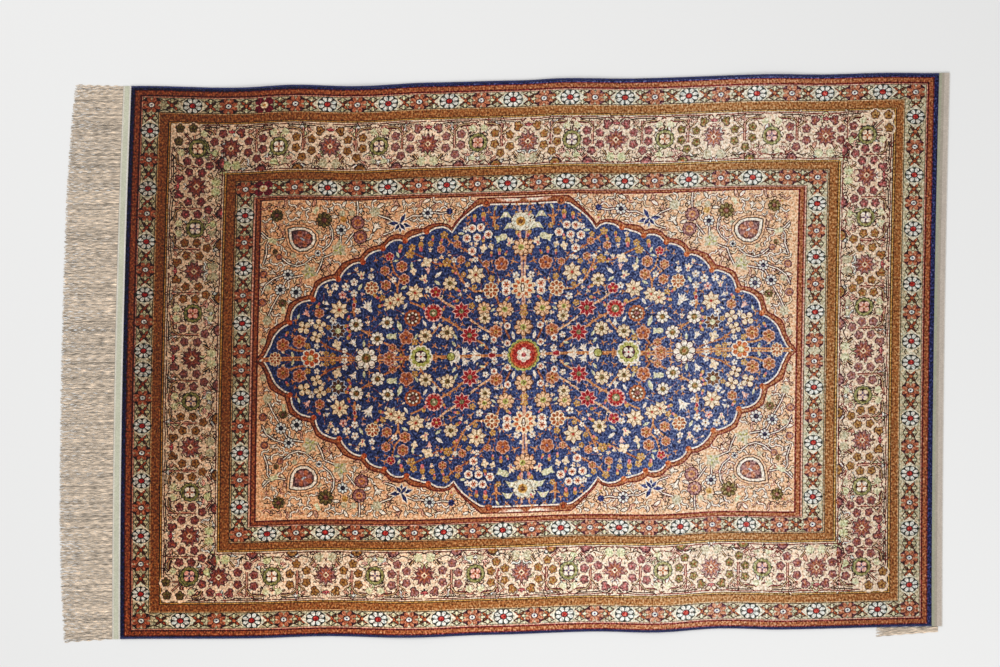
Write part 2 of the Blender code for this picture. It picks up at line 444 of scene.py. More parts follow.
# Round flowers of radius 1: petals and their dye, the heart's dye and radius, how broad the petals
# are, the eye's dye, the rim's dye and width, and whether the petals are pointed
STYLES = {
    "daisy": (8, "white", "olive", 0.42, 0.92, "brown", "wine", 0.08),
    "tiny": (5, "white", "brown", 0.26, 0.95, None),
    "pinktiny": (5, "pink", "red", 0.3, 0.95, None),
    "fiery": (6, "copper", "gold", 0.3, 0.85, "ink_red", "blush", 0.15),
    "rusty": (8, "copper", "cream", 0.34, 0.8, "brown", "cream", 0.13),
    "redstar": (8, "scarlet", "moss", 0.26, 0.85, None, "pink", 0.1, True),
    "redfive": (5, "scarlet", "gold", 0.24, 0.95, None, "pink", 0.12),
    "creamstar": (7, "cream", "sand", 0.3, 0.8, "red", "umber", 0.07, True),
    "mallow": (8, "cream", "olive", 0.34, 0.9, "umber", "umber", 0.08),
    "peachrose": (5, "copper", "violet", 0.2, 0.95, None, "blush", 0.12),
    "brownstar": (8, "umber", "mint", 0.32, 0.9, None, "pale_blue", 0.1, True),
    "peach": (8, "peach", "lime", 0.32, 0.86, "olive", "umber", 0.09),
    "topflower": (14, "halo", "gold", 0.5, 1.3, "umber", "umber", 0.05),
    "goldfive": (5, "gold", "rust", 0.32, 1.0, "cream"),
    "greyflower": (8, "frost", "midnight", 0.4, 0.78, "slate", "wine", 0.13),
    "oliveflower": (8, "olive", "umber", 0.4, 0.8, "plum", "ink", 0.1),
    "plumrose": (10, "mauve", "tan", 0.5, 1.0, "plum", "wine", 0.14),
}


def blossom(chart, place, count, dye, heart, share, fat, eye=None, rim=None, edge=0.0, pointed=False):
    """A round flower of radius 1."""
    turn = 90.0
    if chart.plain:
        chart.disc(dye, place, 0.94, 7, turn)
        chart.disc(heart, place, share, 4, turn)
        return
    width = math.pi * (1.0 + share) / count * fat
    if rim:
        chart.petals(rim, place, count, turn, share * 0.6, 1.0, width + 2 * edge, pointed)
    chart.petals(dye, place, count, turn, share * 0.8, 1.0 - edge, width - 0.02, pointed)
    chart.disc(heart, place, share, 8, turn)
    if eye:
        chart.disc(eye, place, share * 0.5, 6, turn)


def hand(chart, place, dye="white", fingers=5):
    """A leaf like an open hand that points along +1, in white if no other dye is given."""
    for k in range(fingers):
        angle = -56.0 + 112.0 * k / (fingers - 1)
        chart.petal(dye, place, angle, -0.35, 1.0 - 0.2 * (k % 2), 0.34, True)
    chart.petal(dye, place, 180, -0.2, 0.75, 0.42)


def pink_hand(chart, place):
    """The hand leaf in pink."""
    hand(chart, place, "pink", 4)


def leaf(chart, place, dye="pale_green"):
    """One leaf along its own length, -1 to +1."""
    chart.petal(dye, place, 0, -1.0, 1.0, 0.85, True)


def white_leaf(chart, place):
    """The single leaf in white."""
    leaf(chart, place, "white")


def cream_leaf(chart, place):
    """A cream leaf with three lobes."""
    for angle, long in ((0, 1.0), (58, 0.8), (-58, 0.8), (180, 0.7)):
        chart.petal("cream", place, angle, -0.3, long, 0.62)


def fish(chart, place):
    """A pale leaf with a forked end."""
    chart.petal("pale_green", place, 0, -0.7, 1.0, 1.0)
    for angle in (148, 212):
        chart.petal("pale_green", place, angle, 0.2, 1.0, 0.36, True)


def bell(chart, place):
    """A pale bell with its mouth at -1j."""
    chart.paint("pale_green", placed(place, (-1 - 0.35j, -0.62 + 0.25j, -0.3 + 0.75j, 0.3 + 0.75j,
                                             0.62 + 0.25j, 1 - 0.35j, 0.35 - 0.1j, -0.35 - 0.1j)))
    chart.petal("white", place, 90, -0.1, 0.6, 0.5)


def bud(chart, place):
    """A bud that points along +1."""
    chart.petal("gold", place, 0, -0.7, 1.0, 1.0)
    chart.petal("rose", place, 180, -0.1, 0.95, 0.7)


def red_bud(chart, place):
    """A red bud with a pink edge."""
    chart.petal("pink", place, 0, -1.0, 1.0, 1.5)
    chart.petal("scarlet", place, 0, -0.75, 0.8, 1.1)


def twig(chart, place):
    """Three narrow leaves on a short stem."""
    chart.petal("tan", place, 0, -1.0, 1.0, 0.34, True)
    for angle in (62, -62):
        chart.petal("tan", place, angle, 0.0, 0.9, 0.34, True)


def tulip(chart, place):
    """A cup of three narrow petals that points along +1."""
    for angle in (40, -40, 0):
        chart.petal("cream", place, angle, -0.5, 1.0, 0.42)
    chart.petal("rose", place, 0, -0.3, 0.3, 0.3)


def four_petals(chart, place):
    """Four broad cream petals with a dark cross between them."""
    chart.petals("wine", place, 4, 45, 0.0, 1.08, 1.04)
    chart.petals("cream", place, 4, 45, 0.2, 0.98, 0.8)
    chart.disc("gold", place, 0.14, 4)


def ring_star(chart, place):
    """A white ring with an orange star in it."""
    chart.lobes("white", place, 6, 1.0, 0.14, 90)
    chart.petals("orange", place, 6, 0.0, 0.0, 0.68, 0.3)
    chart.disc("ink_red", place, 0.2, 5)


def big_red(chart, place):
    """The large round red flower with a green heart."""
    chart.lobes("pink", place, 12, 1.0, 0.1)
    chart.petals("scarlet", place, 12, 15, 0.4, 0.9, 0.34)
    chart.disc("red", place, 0.66, 12)
    chart.disc("moss", place, 0.44, 8)
    chart.disc("cream", place, 0.2, 4)


def dotted(chart, place):
    """A round orange flower with a circle of white dots."""
    chart.lobes("copper", place, 10, 1.0, 0.1)
    chart.disc("umber", place, 0.72, 10)
    for k in range(8):
        dot = within(place, spot(cmath.rect(0.56, math.tau * k / 8), 0, 0.14))
        chart.disc("white", dot, 1.0, 5)
    chart.disc("plum", place, 0.3, 6)


def green_rosette(chart, place):
    """The yellow-green rosette with a white flower in it."""
    chart.lobes("white", place, 10, 1.0, 0.1)
    chart.petals("lime", place, 10, 0.0, 0.3, 0.9, 0.5)
    chart.disc("wine", place, 0.56, 10)
    chart.petals("white", place, 4, 45, 0.05, 0.5, 0.38)
    chart.disc("scarlet", place, 0.12, 4)


def palmette(chart, place):
    """An upright many-petalled palmette, its foot at -1j."""
    for k in range(9):
        chart.petal("cream", place, -60 + 37.5 * k, 0.1, 1.0, 0.46)
    for k in range(9):
        chart.petal("orange", place, -60 + 37.5 * k, 0.2, 0.8, 0.26)
    chart.disc("cream", place, 0.46, 10)
    chart.petal("umber", place, 90, -0.34, 0.4, 0.4)
    chart.petal("white", place, 90, -0.24, 0.3, 0.2)


def fan_palmette(chart, place):
    """An orange palmette with white edges and a pale green heart, on its side."""
    chart.petals("white", place, 7, 0, 0.1, 1.0, 0.72)
    chart.petals("orange", place, 7, 0, 0.2, 0.86, 0.5)
    chart.disc("gold", place, 0.4, 8)
    chart.disc("pale_green", place, 0.28, 8)


def half_palm(chart, place):
    """An olive cup held by pointed white petals that open along -1."""
    for angle in (130, 155, 180, 205, 230, 95, 265):
        chart.petal("white", place, angle, 0.0, 1.05, 0.34, True)
    chart.disc("ink", place, 0.52, 8)
    chart.disc("lime", place, 0.42, 8)


def centre_rosette(chart, place):
    """The round flower in the medallion's middle."""
    chart.lobes("lime", place, 16, 1.0, 0.08)
    chart.disc("olive", place, 0.86, 16)
    chart.lobes("orange", place, 14, 0.83, 0.05)
    chart.lobes("red", place, 12, 0.7, 0.05)
    chart.petals("white", place, 6, 30, 0.0, 0.46, 0.36)
    chart.disc("rose", place, 0.16, 6)


def maple(chart, place):
    """A broad pale green leaf of five points."""
    for angle in (0, 60, -60, 125, -125):
        chart.petal("sage", place, angle, -0.2, 1.0 if angle == 0 else 0.8, 0.62, True)
    for angle in (20, 150, 260):
        chart.petal("lime", place, angle, 0.1, 0.5, 0.16)


def bird(chart, place):
    """Navy leaves in the shape of a bird, with white dots."""
    leaves = ((196, 0.0, 1.0, 0.34), (6, 0.0, 1.05, 0.36), (118, 0.1, 0.95, 0.34),
              (268, 0.0, 0.75, 0.3), (310, 0.0, 0.7, 0.3), (232, 0.0, 0.7, 0.3))
    for angle, start, long, wide in leaves:
        chart.petal("white", place, angle, start, long + 0.1, wide + 0.16, True)
        chart.petal("navy", place, angle, start, long, wide, True)
    for centre in (0.1 + 0.1j, -0.24 + 0.02j, 0.34 - 0.1j):
        chart.disc("white", within(place, spot(centre, 0, 0.1)), 1.0, 5)


def field_hand(chart, place):
    """The hand leaf in cream with a dark edge."""
    for k in range(5):
        angle = -60.0 + 30.0 * k
        chart.petal("ink", place, angle, -0.4, 1.16 - 0.2 * (k % 2), 0.52, True)
    chart.petal("ink", place, 180, -0.2, 0.95, 0.6)
    for k in range(5):
        angle = -60.0 + 30.0 * k
        chart.petal("white", place, angle, -0.2, 0.92 - 0.2 * (k % 2), 0.26, True)
    chart.petal("white", place, 180, -0.2, 0.72, 0.32)


def branch(chart, place):
    """A bent brown twig with one cream bud."""
    chart.line("copper", 0.4, placed(place, (-1.4 - 0.4j, 0.1j, 1.3 + 0.5j)))
    chart.petal("cream", place, 200, 0.6, 1.6, 0.6)


def dot(chart, place):
    """A copper seed."""
    chart.petal("copper", place, 0, -1.0, 1.0, 1.2)


def shade(chart, place):
    """A dark fleck of the blue ground."""
    chart.petal("midnight", place, 0, -1.6, 1.6, 1.6)


def speck(chart, place):
    """A sandy fleck."""
    chart.disc("sand", place, 0.7, 4)


SHAPES = {shape.__name__: shape for shape in (
    hand, pink_hand, leaf, white_leaf, cream_leaf, fish, bell, bud, red_bud, twig, tulip, four_petals,
    ring_star, big_red, dotted, green_rosette, palmette, fan_palmette, half_palm, centre_rosette,
    maple, bird, field_hand, branch, dot, shade, speck)}

# Lobed patches of one dye
PATCHES = {"patch": "sage", "tan_patch": "gold", "blue_patch": "navy"}

# Shapes that a plain chart shows as one petal, with its dye
PLAIN_SHAPES = dict(hand="white", pink_hand="pink", cream_leaf="cream", fish="pale_green",
                    bell="pale_green", bud="gold", twig="tan", tulip="cream", ring_star="white",
                    four_petals="cream", field_hand="white")


def draw(chart, name, place):
    """Draws one motif: a round flower, a lobed patch or another shape."""
    if chart.plain and name in PLAIN_SHAPES:
        chart.petal(PLAIN_SHAPES[name], place, 0, -0.8, 1.0, 1.0)
    elif name in STYLES:
        blossom(chart, place, *STYLES[name])
    elif name in PATCHES:
        chart.lobes(PATCHES[name], place, 7, 1.0, 0.24)
    else:
        SHAPES[name](chart, place)


# Stripes from the outside in: dye, then squares from the fringe, turned, near and far edges
STRIPES = (
    ("navy", 0.0, 0.0, 0.0, 0.0),
    ("ink_red", 3.8, 4.4, 2.8, 4.2),
    ("rust", 4.9, 5.5, 3.9, 5.2),
    ("ink_red", 9.4, 9.5, 7.5, 9.0),
    ("blush", 11.4, 11.2, 9.2, 10.8),
    ("ink_green", 12.3, 12.0, 10.2, 11.6),
    ("sage", 12.9, 12.6, 10.7, 12.1),
    ("ink", 28.0, 33.0, 25.6, 26.0),
    ("sand", 28.9, 33.8, 26.4, 26.8),
    ("brown", 29.9, 34.6, 27.2, 27.6),
    ("ink", 38.4, 41.4, 34.2, 35.0),
    ("gold", 39.6, 42.3, 35.0, 35.8),
    ("ink", 40.7, 43.6, 36.0, 36.6),
    ("ivory", 41.6, 44.8, 36.8, 37.3),
    ("ink", 96.0, 95.6, 86.6, 85.2),
    ("gold", 97.0, 96.6, 87.4, 86.0),
    ("ink", 98.4, 98.0, 88.6, 87.1),
    ("brown", 99.4, 99.0, 89.4, 87.9),
    ("ink", 107.8, 106.8, 95.6, 94.2),
    ("sand", 108.8, 107.6, 96.4, 95.0),
    ("ink", 109.8, 108.4, 97.1, 95.8),
    ("sage", 110.6, 109.2, 97.7, 96.4),
    ("ink", 126.0, 129.0, 111.0, 110.4),
    ("blush", 127.0, 129.8, 111.6, 111.0),
    ("ink_red", 128.6, 131.2, 112.4, 111.8),
    ("rust", 130.2, 132.6, 113.5, 112.7),
    ("ink_red", 133.0, 136.0, 116.1, 114.0),
    ("peach", 134.8, 137.8, 117.8, 115.4),
)
MAIN_STRIPE = 13
FIELD_STRIPE = len(STRIPES) - 1


def paint_stripes(chart):
    """The plain stripes and the grounds between them, as nested rectangles."""
    for dye, left, right, near, far in STRIPES:
        chart.box(dye, complex(left, near), complex(CHART_LENGTH - right, CHART_WIDTH - far))


def white_guard_flower(chart, place):
    """White eight-petalled flower with a red heart."""
    chart.paint("halo", placed(place, [-12.6 + 0j, -6 - 7j, 6 - 7j, 12.6 + 0j, 6 + 7j, -6 + 7j]))
    chart.disc("ink_green", place, 8.4, 12)
    for k in range(0 if chart.plain else 8):
        chart.petal("frost", place, 22.5 + 45 * k, 2.8, 7.8, 3.5)
    if chart.plain:
        chart.disc("frost", place, 7.4, 10)
    chart.disc("wine", place, 3.3, 8, 22.5)
    chart.disc("red", place, 2.3, 8, 22.5)


def orange_guard_flower(chart, place):
    """Orange flower of four pairs of petals with a white and blue heart."""
    chart.petals("wine", place, 4, 45, 0.5, 9.2, 8.8)
    for k in range(0 if chart.plain else 8):
        chart.petal("salmon", place, 22.5 + 45 * k, 1.6, 8.3, 3.7)
    if chart.plain:
        chart.disc("salmon", place, 7.2, 8)
    chart.disc("wine", place, 3.2, 8, 22.5)
    chart.disc("frost", place, 2.3, 8, 22.5)
    chart.disc("navy", place, 1.1, 4, 45)


def crimson_guard_flower(chart, place):
    """Crimson flower of four broad petals with a cream heart."""
    chart.petals("crimson", place, 4, 45, 0.5, 9.4, 8.6)
    chart.disc("cream", place, 3.4, 8, 22.5)
    chart.disc("gold", place, 1.6, 4)


def leaf_cross(chart, place):
    """Four slanting leaves round an orange knot, with pale buds between their tips."""
    for turn in (90, 270, 0, 180):
        chart.petal("ink", place, turn, 1.6, 7.6, 4.2)
        chart.petal("pale_green", place, turn, 2.6, 6.8, 2.9)
    for number, turn in enumerate((38, 142, 218, 322)):
        chart.petal("ink", place, turn, 0.6, 8.2, 3.7, True)
        chart.petal(("umber", "copper")[number % 2], place, turn, 1.6, 7.0, 2.4, True)
    chart.disc("wine", place, 3.0, 6)
    chart.disc("copper", place, 2.0, 5)


def guard_vine(chart, start, finish, outward):
    """Thin dark lines along both edges of a guard stripe between two flowers."""
    run = finish - start
    for side in (-1, 1):
        points = [start + run * share + outward * side * rise
                  for share, rise in ((0.16, 6.8), (0.32, 4.2), (0.5, 7.0), (0.68, 4.2), (0.84, 6.8))]
        chart.line("ink", 1.1, points)


GUARD_FLOWERS = {
    "W": white_guard_flower,
    "O": orange_guard_flower,
    "D": crimson_guard_flower,
}

# Guard stripes: which way they run, their middle line, then each flower with its place. C is a
# corner flower that belongs to the other guard.
GUARDS = (
    ("along", 533.6,
     "O21 W62 O98 D134 O165 W197 O227 W258 O289 W319 O351 W383 O414 W440 O465 W495 O525 W559 O591 "
     "W627 O662 W695 O725 W753 O786"),
    ("along", 18.2,
     "O21 W60 O96 W131 O163 W195 O226 W257 O288 W320 O351 W382 O413 W443 O473 W503 O533 W564 O595 "
     "W628 O661 W694 O725 W755 O787"),
    ("across", 20.4,
     "C533 W508 O479 W450 O425 W397 O369 W344 O317 W288 W269 O241 W213 O186 W158 O131 W103 O75 W45 "
     "C18"),
    ("across", 786.5,
     "C533 W509 O479 W451 O423 W397 O368 W342 O314 W285 W264 O236 W208 O180 W153 O124 W98 O69 W42 "
     "C18"),
    ("along", 450.2,
     "O118 D136 O167 W200 O229 W260 O291 W319 O350 W380 O411 W438 O467 W497 O527 W561 O593 W625 "
     "O660 O690"),
    ("along", 104.4,
     "O118 W146 O175 W204 O234 W264 O293 W322 O351 W381 O410 W439 O468 W497 O527 W558 O590 W624 "
     "O657 O690"),
    ("across", 118.3,
     "C450 W424 O397 W371 O344 W316 O288 O269 W241 O213 W186 O159 W132 C104"),
    ("across", 690.0,
     "C450 W424 O397 W371 O344 W316 O288 O267 W241 O213 W186 O159 W132 C104"),
)
# Room between two flowers that a leaf cross needs, its shortest and full room, and how the
# flowers are stretched along and across their guard
LEAF_ROOM = 21
CROSS_ENDS = 14
CROSS_LENGTH = 15
STRETCHES = {"along": (1.2, 0.97), "across": (0.93, 1.15)}


def paint_guards(chart, detail):
    """Flowers of the two guard stripes with leaf crosses between them."""
    for way, middle, listed in GUARDS:
        flowers = sorted((float(word[1:]), word[0]) for word in listed.split())
        turn = 0.0 if way == "along" else 90.0

        def centre(place):
            return complex(place, middle) if way == "along" else complex(middle, place)

        for (first, _), (second, _) in zip(flowers, flowers[1:]):
            room = second - first
            if detail:
                guard_vine(chart, centre(first), centre(second), 1j if way == "along" else 1)
            if detail and room > LEAF_ROOM:
                size = min(1.0, (room - CROSS_ENDS) / CROSS_LENGTH)
                leaf_cross(chart, spot(centre((first + second) / 2), turn, size, 1.0))
        for place, kind in flowers:
            if kind in GUARD_FLOWERS:
                GUARD_FLOWERS[kind](chart, spot(centre(place), turn, *STRETCHES[way]))


# Main border. A half unit runs from a star at 0 to a rosette at UNIT, with the outer side at +1j.
UNIT = 49.5
UNIT_HALF = 24.6


def star(chart, place, petals, tips):
    """Ten pointed petals in two dyes round a pale heart with a dark eye."""
    if chart.plain:
        chart.disc("wine", place, 10.0, 8)
        chart.disc(petals, place, 8.6, 8)
        chart.disc("cream", place, 3.2, 4)
        return
    chart.petals("dusk", place, 10, 18, 1.0, 11.6, 5.6, True)
    chart.petals(petals, place, 10, 18, 1.8, 10.2, 3.9, True)
    chart.petals(tips, place, 10, 18, 2.4, 7.0, 1.7)
    chart.disc("cream", place, 3.2, 4)
    chart.disc("ink_red", place, 1.5, 5)


def rosette(chart, place, inner, cross):
    """Scalloped yellow-green ring round a pale disc with a small cross."""
    chart.lobes("ink_green", place, 12, 9.9, 0.9)
    chart.lobes("reed", place, 12, 9.0, 0.8)
    if chart.plain:
        chart.disc(inner, place, 6.0, 8)
        return
    chart.disc("ink", place, 6.5, 12)
    chart.petals(inner, place, 4, 45, 0.6, 6.1, 5.2)
    chart.petals(cross, place, 4, 0.0, 0.0, 4.4, 2.1, True)
    chart.disc("cream", place, 1.0, 4)


def small_flower(chart, place, dye, heart, radius=5.0):
    """Flower of three long and two short petals on its pale halo."""
    if chart.plain:
        chart.disc(dye, place, radius, 6)
        return
    chart.disc("ivory", place, radius * 1.3, 8)
    lobes = ((90, 1.2), (150, 1.06), (30, 1.06), (222, 0.86), (318, 0.86))
    for angle, reach in lobes:
        chart.petal("dusk", place, angle, -1.2, reach * radius, radius * 0.98)
    for angle, reach in lobes:
        chart.petal(dye, place, angle, -0.6, reach * radius * 0.84, radius * 0.66)
    chart.disc(heart, place, radius * 0.26, 4, 90)


def border_tulip(chart, place, dye, heart):
    """Three-petalled bud that points along +1j."""
    if chart.plain:
        chart.disc(dye, place, 5.0, 6)
        return
    chart.disc("ivory", place, 7.2, 8)
    for turn in (90, 132, 48):
        chart.petal("wine", place, turn, -4.0, 6.8, 5.0)
    for turn in (132, 48, 90):
        chart.petal(dye, place, turn, -3.0, 5.8, 3.4)
    chart.petal(heart, place, 90, -2.0, 3.6, 1.6)


def half_flower(chart, place, dye, heart):
    """Half flower that rises from a stripe at its foot, at 0."""
    fan = [cmath.rect(6.6 if k % 2 else 5.5, math.pi * k / 8) for k in range(9)]
    chart.paint("wine", placed(place, fan))
    chart.paint(dye, placed(place, [point * 0.78 for point in fan]))
    chart.paint(heart, placed(place, [cmath.rect(2.2, math.pi * k / 4) for k in range(5)]))


def patch(chart, place, dye, size):
    """Lobed patch of one dye, without an outline."""
    chart.lobes(dye, place, 7, size, size * 0.24, 20)


def sprig(chart, place, dye):
    """Small leaf of three points with a dark edge."""
    for turn in (90, 140, 40):
        chart.petal("ink", place, turn, 0.0, 5.2, 2.6, True)
    for turn in (90, 140, 40):
        chart.petal(dye, place, turn, 0.5, 4.3, 1.4, True)


def scroll(chart, place, dye, edge):
    """A curled leaf between two dark lines, about five squares long."""
    points = [cmath.rect(2.8, math.radians(60 * k)) for k in range(4)]
    chart.line(edge, 2.3, placed(place, points))
    chart.line(dye, 1.0, placed(place, points))


def squiggle(chart, place, edge, wide):
    """A small dark hook without a pale middle."""
    chart.line(edge, wide, placed(place, (-2.6 - 0.6j, -0.9 + 1.1j, 1.1 + 0.7j, 2.3 - 1.1j)))


def field_leaf(chart, place, dye, edge):
    """A curled pale leaf with a dark edge, about eight squares long."""
    outer = (-4.6 - 0.9j, -1.4 - 2.6j, 2.5 - 2.1j, 4.9 + 1.7j, 1 + 2.2j, -2.2 + 1.4j)
    inner = (-3.6 - 0.6j, -1.2 - 1.7j, 2 - 1.3j, 3.7 + 1j, 0.9 + 1.3j, -1.9 + 0.6j)
    chart.paint(edge, placed(place, outer))
    chart.paint(dye, placed(place, inner))


def curl(chart, place, dye, edge):
    """A pale leaf bent twice between two dark lines, about ten squares long."""
    points = placed(place, (-4.8 - 1.0j, -2.4 + 1.5j, 0.4 + 0.9j, 2.2 - 1.1j, 4.8 - 0.4j))
    chart.line(edge, 2.9, points)
    chart.line(dye, 1.4, points)


def forked_leaf(chart, place, dye, edge):
    """A pale leaf of three points with a dark edge."""
    outer = (-4.6 - 0.7j, -0.6 - 1.5j, 3.2 - 4.2j, 2 - 1.1j, 5.2 + 0.2j,
             2.2 + 1.2j, 2.8 + 4.3j, -0.8 + 1.6j, -4.6 + 0.7j)
    inner = (-3.8 - 0.1j, -0.3 - 0.7j, 2.2 - 2.9j, 1.1 - 0.5j, 3.9 + 0.2j,
             1.2 + 0.6j, 1.9 + 3j, -0.5 + 0.8j)
    chart.paint(edge, placed(place, outer))
    chart.paint(dye, placed(place, inner))


def double_stem(chart, points, dye, edge, width):
    """A pale stem between two dark lines."""
    chart.line(edge, width, points)
    chart.line(dye, width * 0.34, points)


# Flowers between a star and a rosette: squares along and out
BORDER_FLOWERS = ((33.4, 8.8), (33.6, -1.8), (26.4, -11.0), (17.2, 7.0), (17.0, -4.4))
SHORT_FLOWERS = ((16.4, 7.4), (16.0, -5.2), (9.0, 15.4), (12.6, -16.6))
SHORT = 0.75
BORDER_DYES = (
    ("plum", "copper"),
    ("amber", "umber"),
    ("mauve", "rust"),
    ("amber", "copper"),
    ("plum", "rose"),
    ("olive", "copper"),
)
PATCH_DYES = ("mint", "sage", "pale_green", "sage")


class UnitPlace:
    """Placing of one half unit: stretched along to its room, turned to its side of the rug."""

    def __init__(self, origin, ahead, outward, stretch, wide):
        self.origin, self.ahead, self.outward = origin, ahead, outward
        self.stretch, self.wide = stretch, wide

    def __call__(self, point):
        out = self.outward * point.imag * self.wide
        return self.origin + (self.ahead * point.real * self.stretch + out)

    def at(self, along, out, turn=0.0):
        """Placing of a small thing, kept in its own proportions."""
        middle = self(complex(along, out))
        spin = cmath.exp(1j * math.radians(turn))

        def move(point):
            point = point * spin
            return middle + self.ahead * point.real + self.outward * point.imag

        return move


# Contour lines of a half unit: dye, width and points
CONTOURS = (
    ("ink", 1.2, (4 + 15.5j, 6.4 + 21j, 10 + 20.4j, 26 + 21.6j, 40 + 21.6j, 43 + 24j)),
    ("ink_red", 1.1, (2 + 23j, 14 + 22.6j, 26 + 23.6j, 38 + 23.4j, 49 + 22.8j)),
    ("ink_red", 1.1, (28 + 18.8j, 33 + 17j, 41 + 17.4j, 44 + 19.4j)),
    ("ink", 1.2, (8 - 22.6j, 16 - 17.6j, 22 - 19.6j, 28 - 16.4j, 36 - 20j)),
    ("ink_red", 1.1, (38 - 22.4j, 42 - 17.8j, 49 - 19.6j)),
    ("ink_red", 1.1, (1 - 22.8j, 12 - 23.4j, 24 - 22.6j, 36 - 23.4j, 49 - 22.8j)),
)

# Double stems of a half unit: dye, edge, width and points
BORDER_STEMS = (
    ("blush", "ink_red", 2.9, (26.3 + 19j, 26.3 + 6j, 26.3 - 8j)),
    ("sand", "ink", 2.5, (26.3 + 13j, 30 + 17.6j, 36 + 19.2j, 41 + 19.2j)),
    ("sand", "ink", 2.5, (26.3 + 8j, 21.6 + 11.6j, 19.4 + 15j)),
    ("blush", "ink_red", 2.5, (26.3 - 11j, 32 - 15j, 37 - 18.6j)),
    ("sand", "ink", 2.5, (17.2 - 6.6j, 12.6 - 12.6j, 10 - 16j)),
)

# Sprigs of a half unit: dye, place and turn
SPRIGS = (
    ("pink", 39.4, -13.6, 0),
    ("cream", 13.4, -20.4, 0),
    ("blush", 21.0, 15.6, 30),
    ("rose", 0.6, 15.4, 0),
)
SQUIGGLE_DYES = ("ink", "ink_red", "umber", "ink")
LEAF_DYES = ("ivory", "frost", "blush", "mint")
LEAF_SHAPES = (curl, forked_leaf, field_leaf, curl)


def unit_ground(chart, place, number, full):
    """The hooks, leaves, patches and stems that fill the ground of one half unit."""
    chance = random.Random(number)
    for _ in range(84 if full else 46):
        here = chance.uniform(1.0, UNIT), chance.uniform(-22.5, 22.5)
        edge = chance.choice(SQUIGGLE_DYES)
        squiggle(chart, place.at(*here, chance.uniform(0, 360)), edge, chance.uniform(0.8, 1.25))
    for k in range(18 if full else 9):
        here = chance.uniform(1.0, UNIT), chance.uniform(-22.0, 22.0)
        spin = chance.uniform(0, 360)
        dye, edge = chance.choice(LEAF_DYES), chance.choice(("ink", "ink_red"))
        LEAF_SHAPES[k % 4](chart, place.at(*here, spin), dye, edge)
    ground = PATCH_DYES[number % len(PATCH_DYES)]
    patch(chart, place.at(6.2, -17.5), ground, 4.8)
    patch(chart, place.at(43.6, 15.0), "pale_green", 3.8)
    patch(chart, place.at(44.0, -16.4), ground, 3.6)
    for dye, width, points in CONTOURS:
        chart.line(dye, width, placed(place, points))
    for dye, edge, width, points in BORDER_STEMS:
        double_stem(chart, placed(place, points), dye, edge, width)


def border_unit(chart, place, number, detail):
    """The stems and small flowers between a star and a rosette."""
    dye, heart = BORDER_DYES[number % len(BORDER_DYES)]
    if detail:
        unit_ground(chart, place, number, place.stretch > SHORT)
    if place.stretch < SHORT:
        for along, out in SHORT_FLOWERS:
            small_flower(chart, place.at(along / place.stretch, out, 12 * along), dye, heart)
        return
    for along, out in BORDER_FLOWERS:
        away = math.degrees(math.atan2(out, along - (UNIT if along > 30.0 else 0.0))) - 90.0
        small_flower(chart, place.at(along, out, away), dye, heart)
    border_tulip(chart, place.at(10.6, 14.6, 20), dye, heart)
    if detail:
        half_flower(chart, place.at(31.0, -UNIT_HALF + 0.6), dye, heart)
        for dye, along, out, turn in SPRIGS:
            sprig(chart, place.at(along, out, turn), dye)


# Main border sides: rosettes R and stars S with their places, in squares
BORDERS = (
    ("far", "R71 S102 R150 S201 R250 S299 R349 S399 R443 S487 R536 S585 R643 S697 R739"),
    ("near", "R67 S98 R151 S205 R254 S303 R354 S400 R447 S493 R541 S589 R640 S694 R738"),
    ("left", "R491 S453 R411 S368 R326 S281 R238 S192 R147 S103 R63"),
    ("right", "R491 S451 R409 S362 R320 S276 R232 S187 R141 S100 R61"),
)


def border_frame(side):
    """Middle line, direction along, direction outwards and width of one side's main border."""
    left, right, near, far = STRIPES[MAIN_STRIPE][1:]
    left_in, right_in, near_in, far_in = STRIPES[MAIN_STRIPE + 1][1:]
    if side == "far":
        return (lambda s: complex(s, CHART_WIDTH - (far + far_in) / 2)), 1, 1j, far_in - far
    if side == "near":
        return (lambda s: complex(s, (near + near_in) / 2)), 1, -1j, near_in - near
    if side == "left":
        return (lambda s: complex((left + left_in) / 2, s)), 1j, -1, left_in - left
    return (lambda s: complex(CHART_LENGTH - (right + right_in) / 2, s)), 1j, 1, right_in - right


# Corners of the main border: the rosette, then the way towards the outer corner
BORDER_CORNERS = (
    (71.0, 490.6, -1, 1),
    (738.8, 490.6, 1, 1),
    (67.0, 62.4, -1, -1),
    (738.6, 61.6, 1, -1),
)


def border_corner(chart, rosette_place, out_x, out_y, detail):
    """Three olive flowers on stems towards the outer corner, and a branch towards the field."""

    def at(x, y):
        return rosette_place + complex(out_x * x, out_y * y)

    if detail:
        for tip in ((21.0, 6.0), (18.0, 17.0), (7.0, 20.0)):
            double_stem(chart, [at(5.0, 5.0), at(*tip)], "blush", "ink", 2.5)
        for width, branch in ((2.9, ((-5, -5), (-12, -11), (-20, -19), (-25, -25))),
                              (2.5, ((-12, -11), (-14, -4), (-21, -2))),
                              (2.5, ((-12, -11), (-5, -14), (-3, -21)))):
            double_stem(chart, [at(x, y) for x, y in branch], "sand", "ink", width)
        chance = random.Random(round(rosette_place.real))
        for _ in range(64):
            here = spot(at(chance.uniform(-24, 26), chance.uniform(-24, 25)), chance.uniform(0, 360))
            squiggle(chart, here, chance.choice(("ink", "ink_red", "umber")), chance.uniform(0.9, 1.4))
        patch(chart, spot(at(-24.0, -21.0)), "mint", 4.4)
    for x, y in ((21.5, 6.4), (20.5, 19.4), (7.4, 20.0)):
        small_flower(chart, spot(at(x, y)), "olive" if out_x < 0 else "amber", "umber", 5.3)


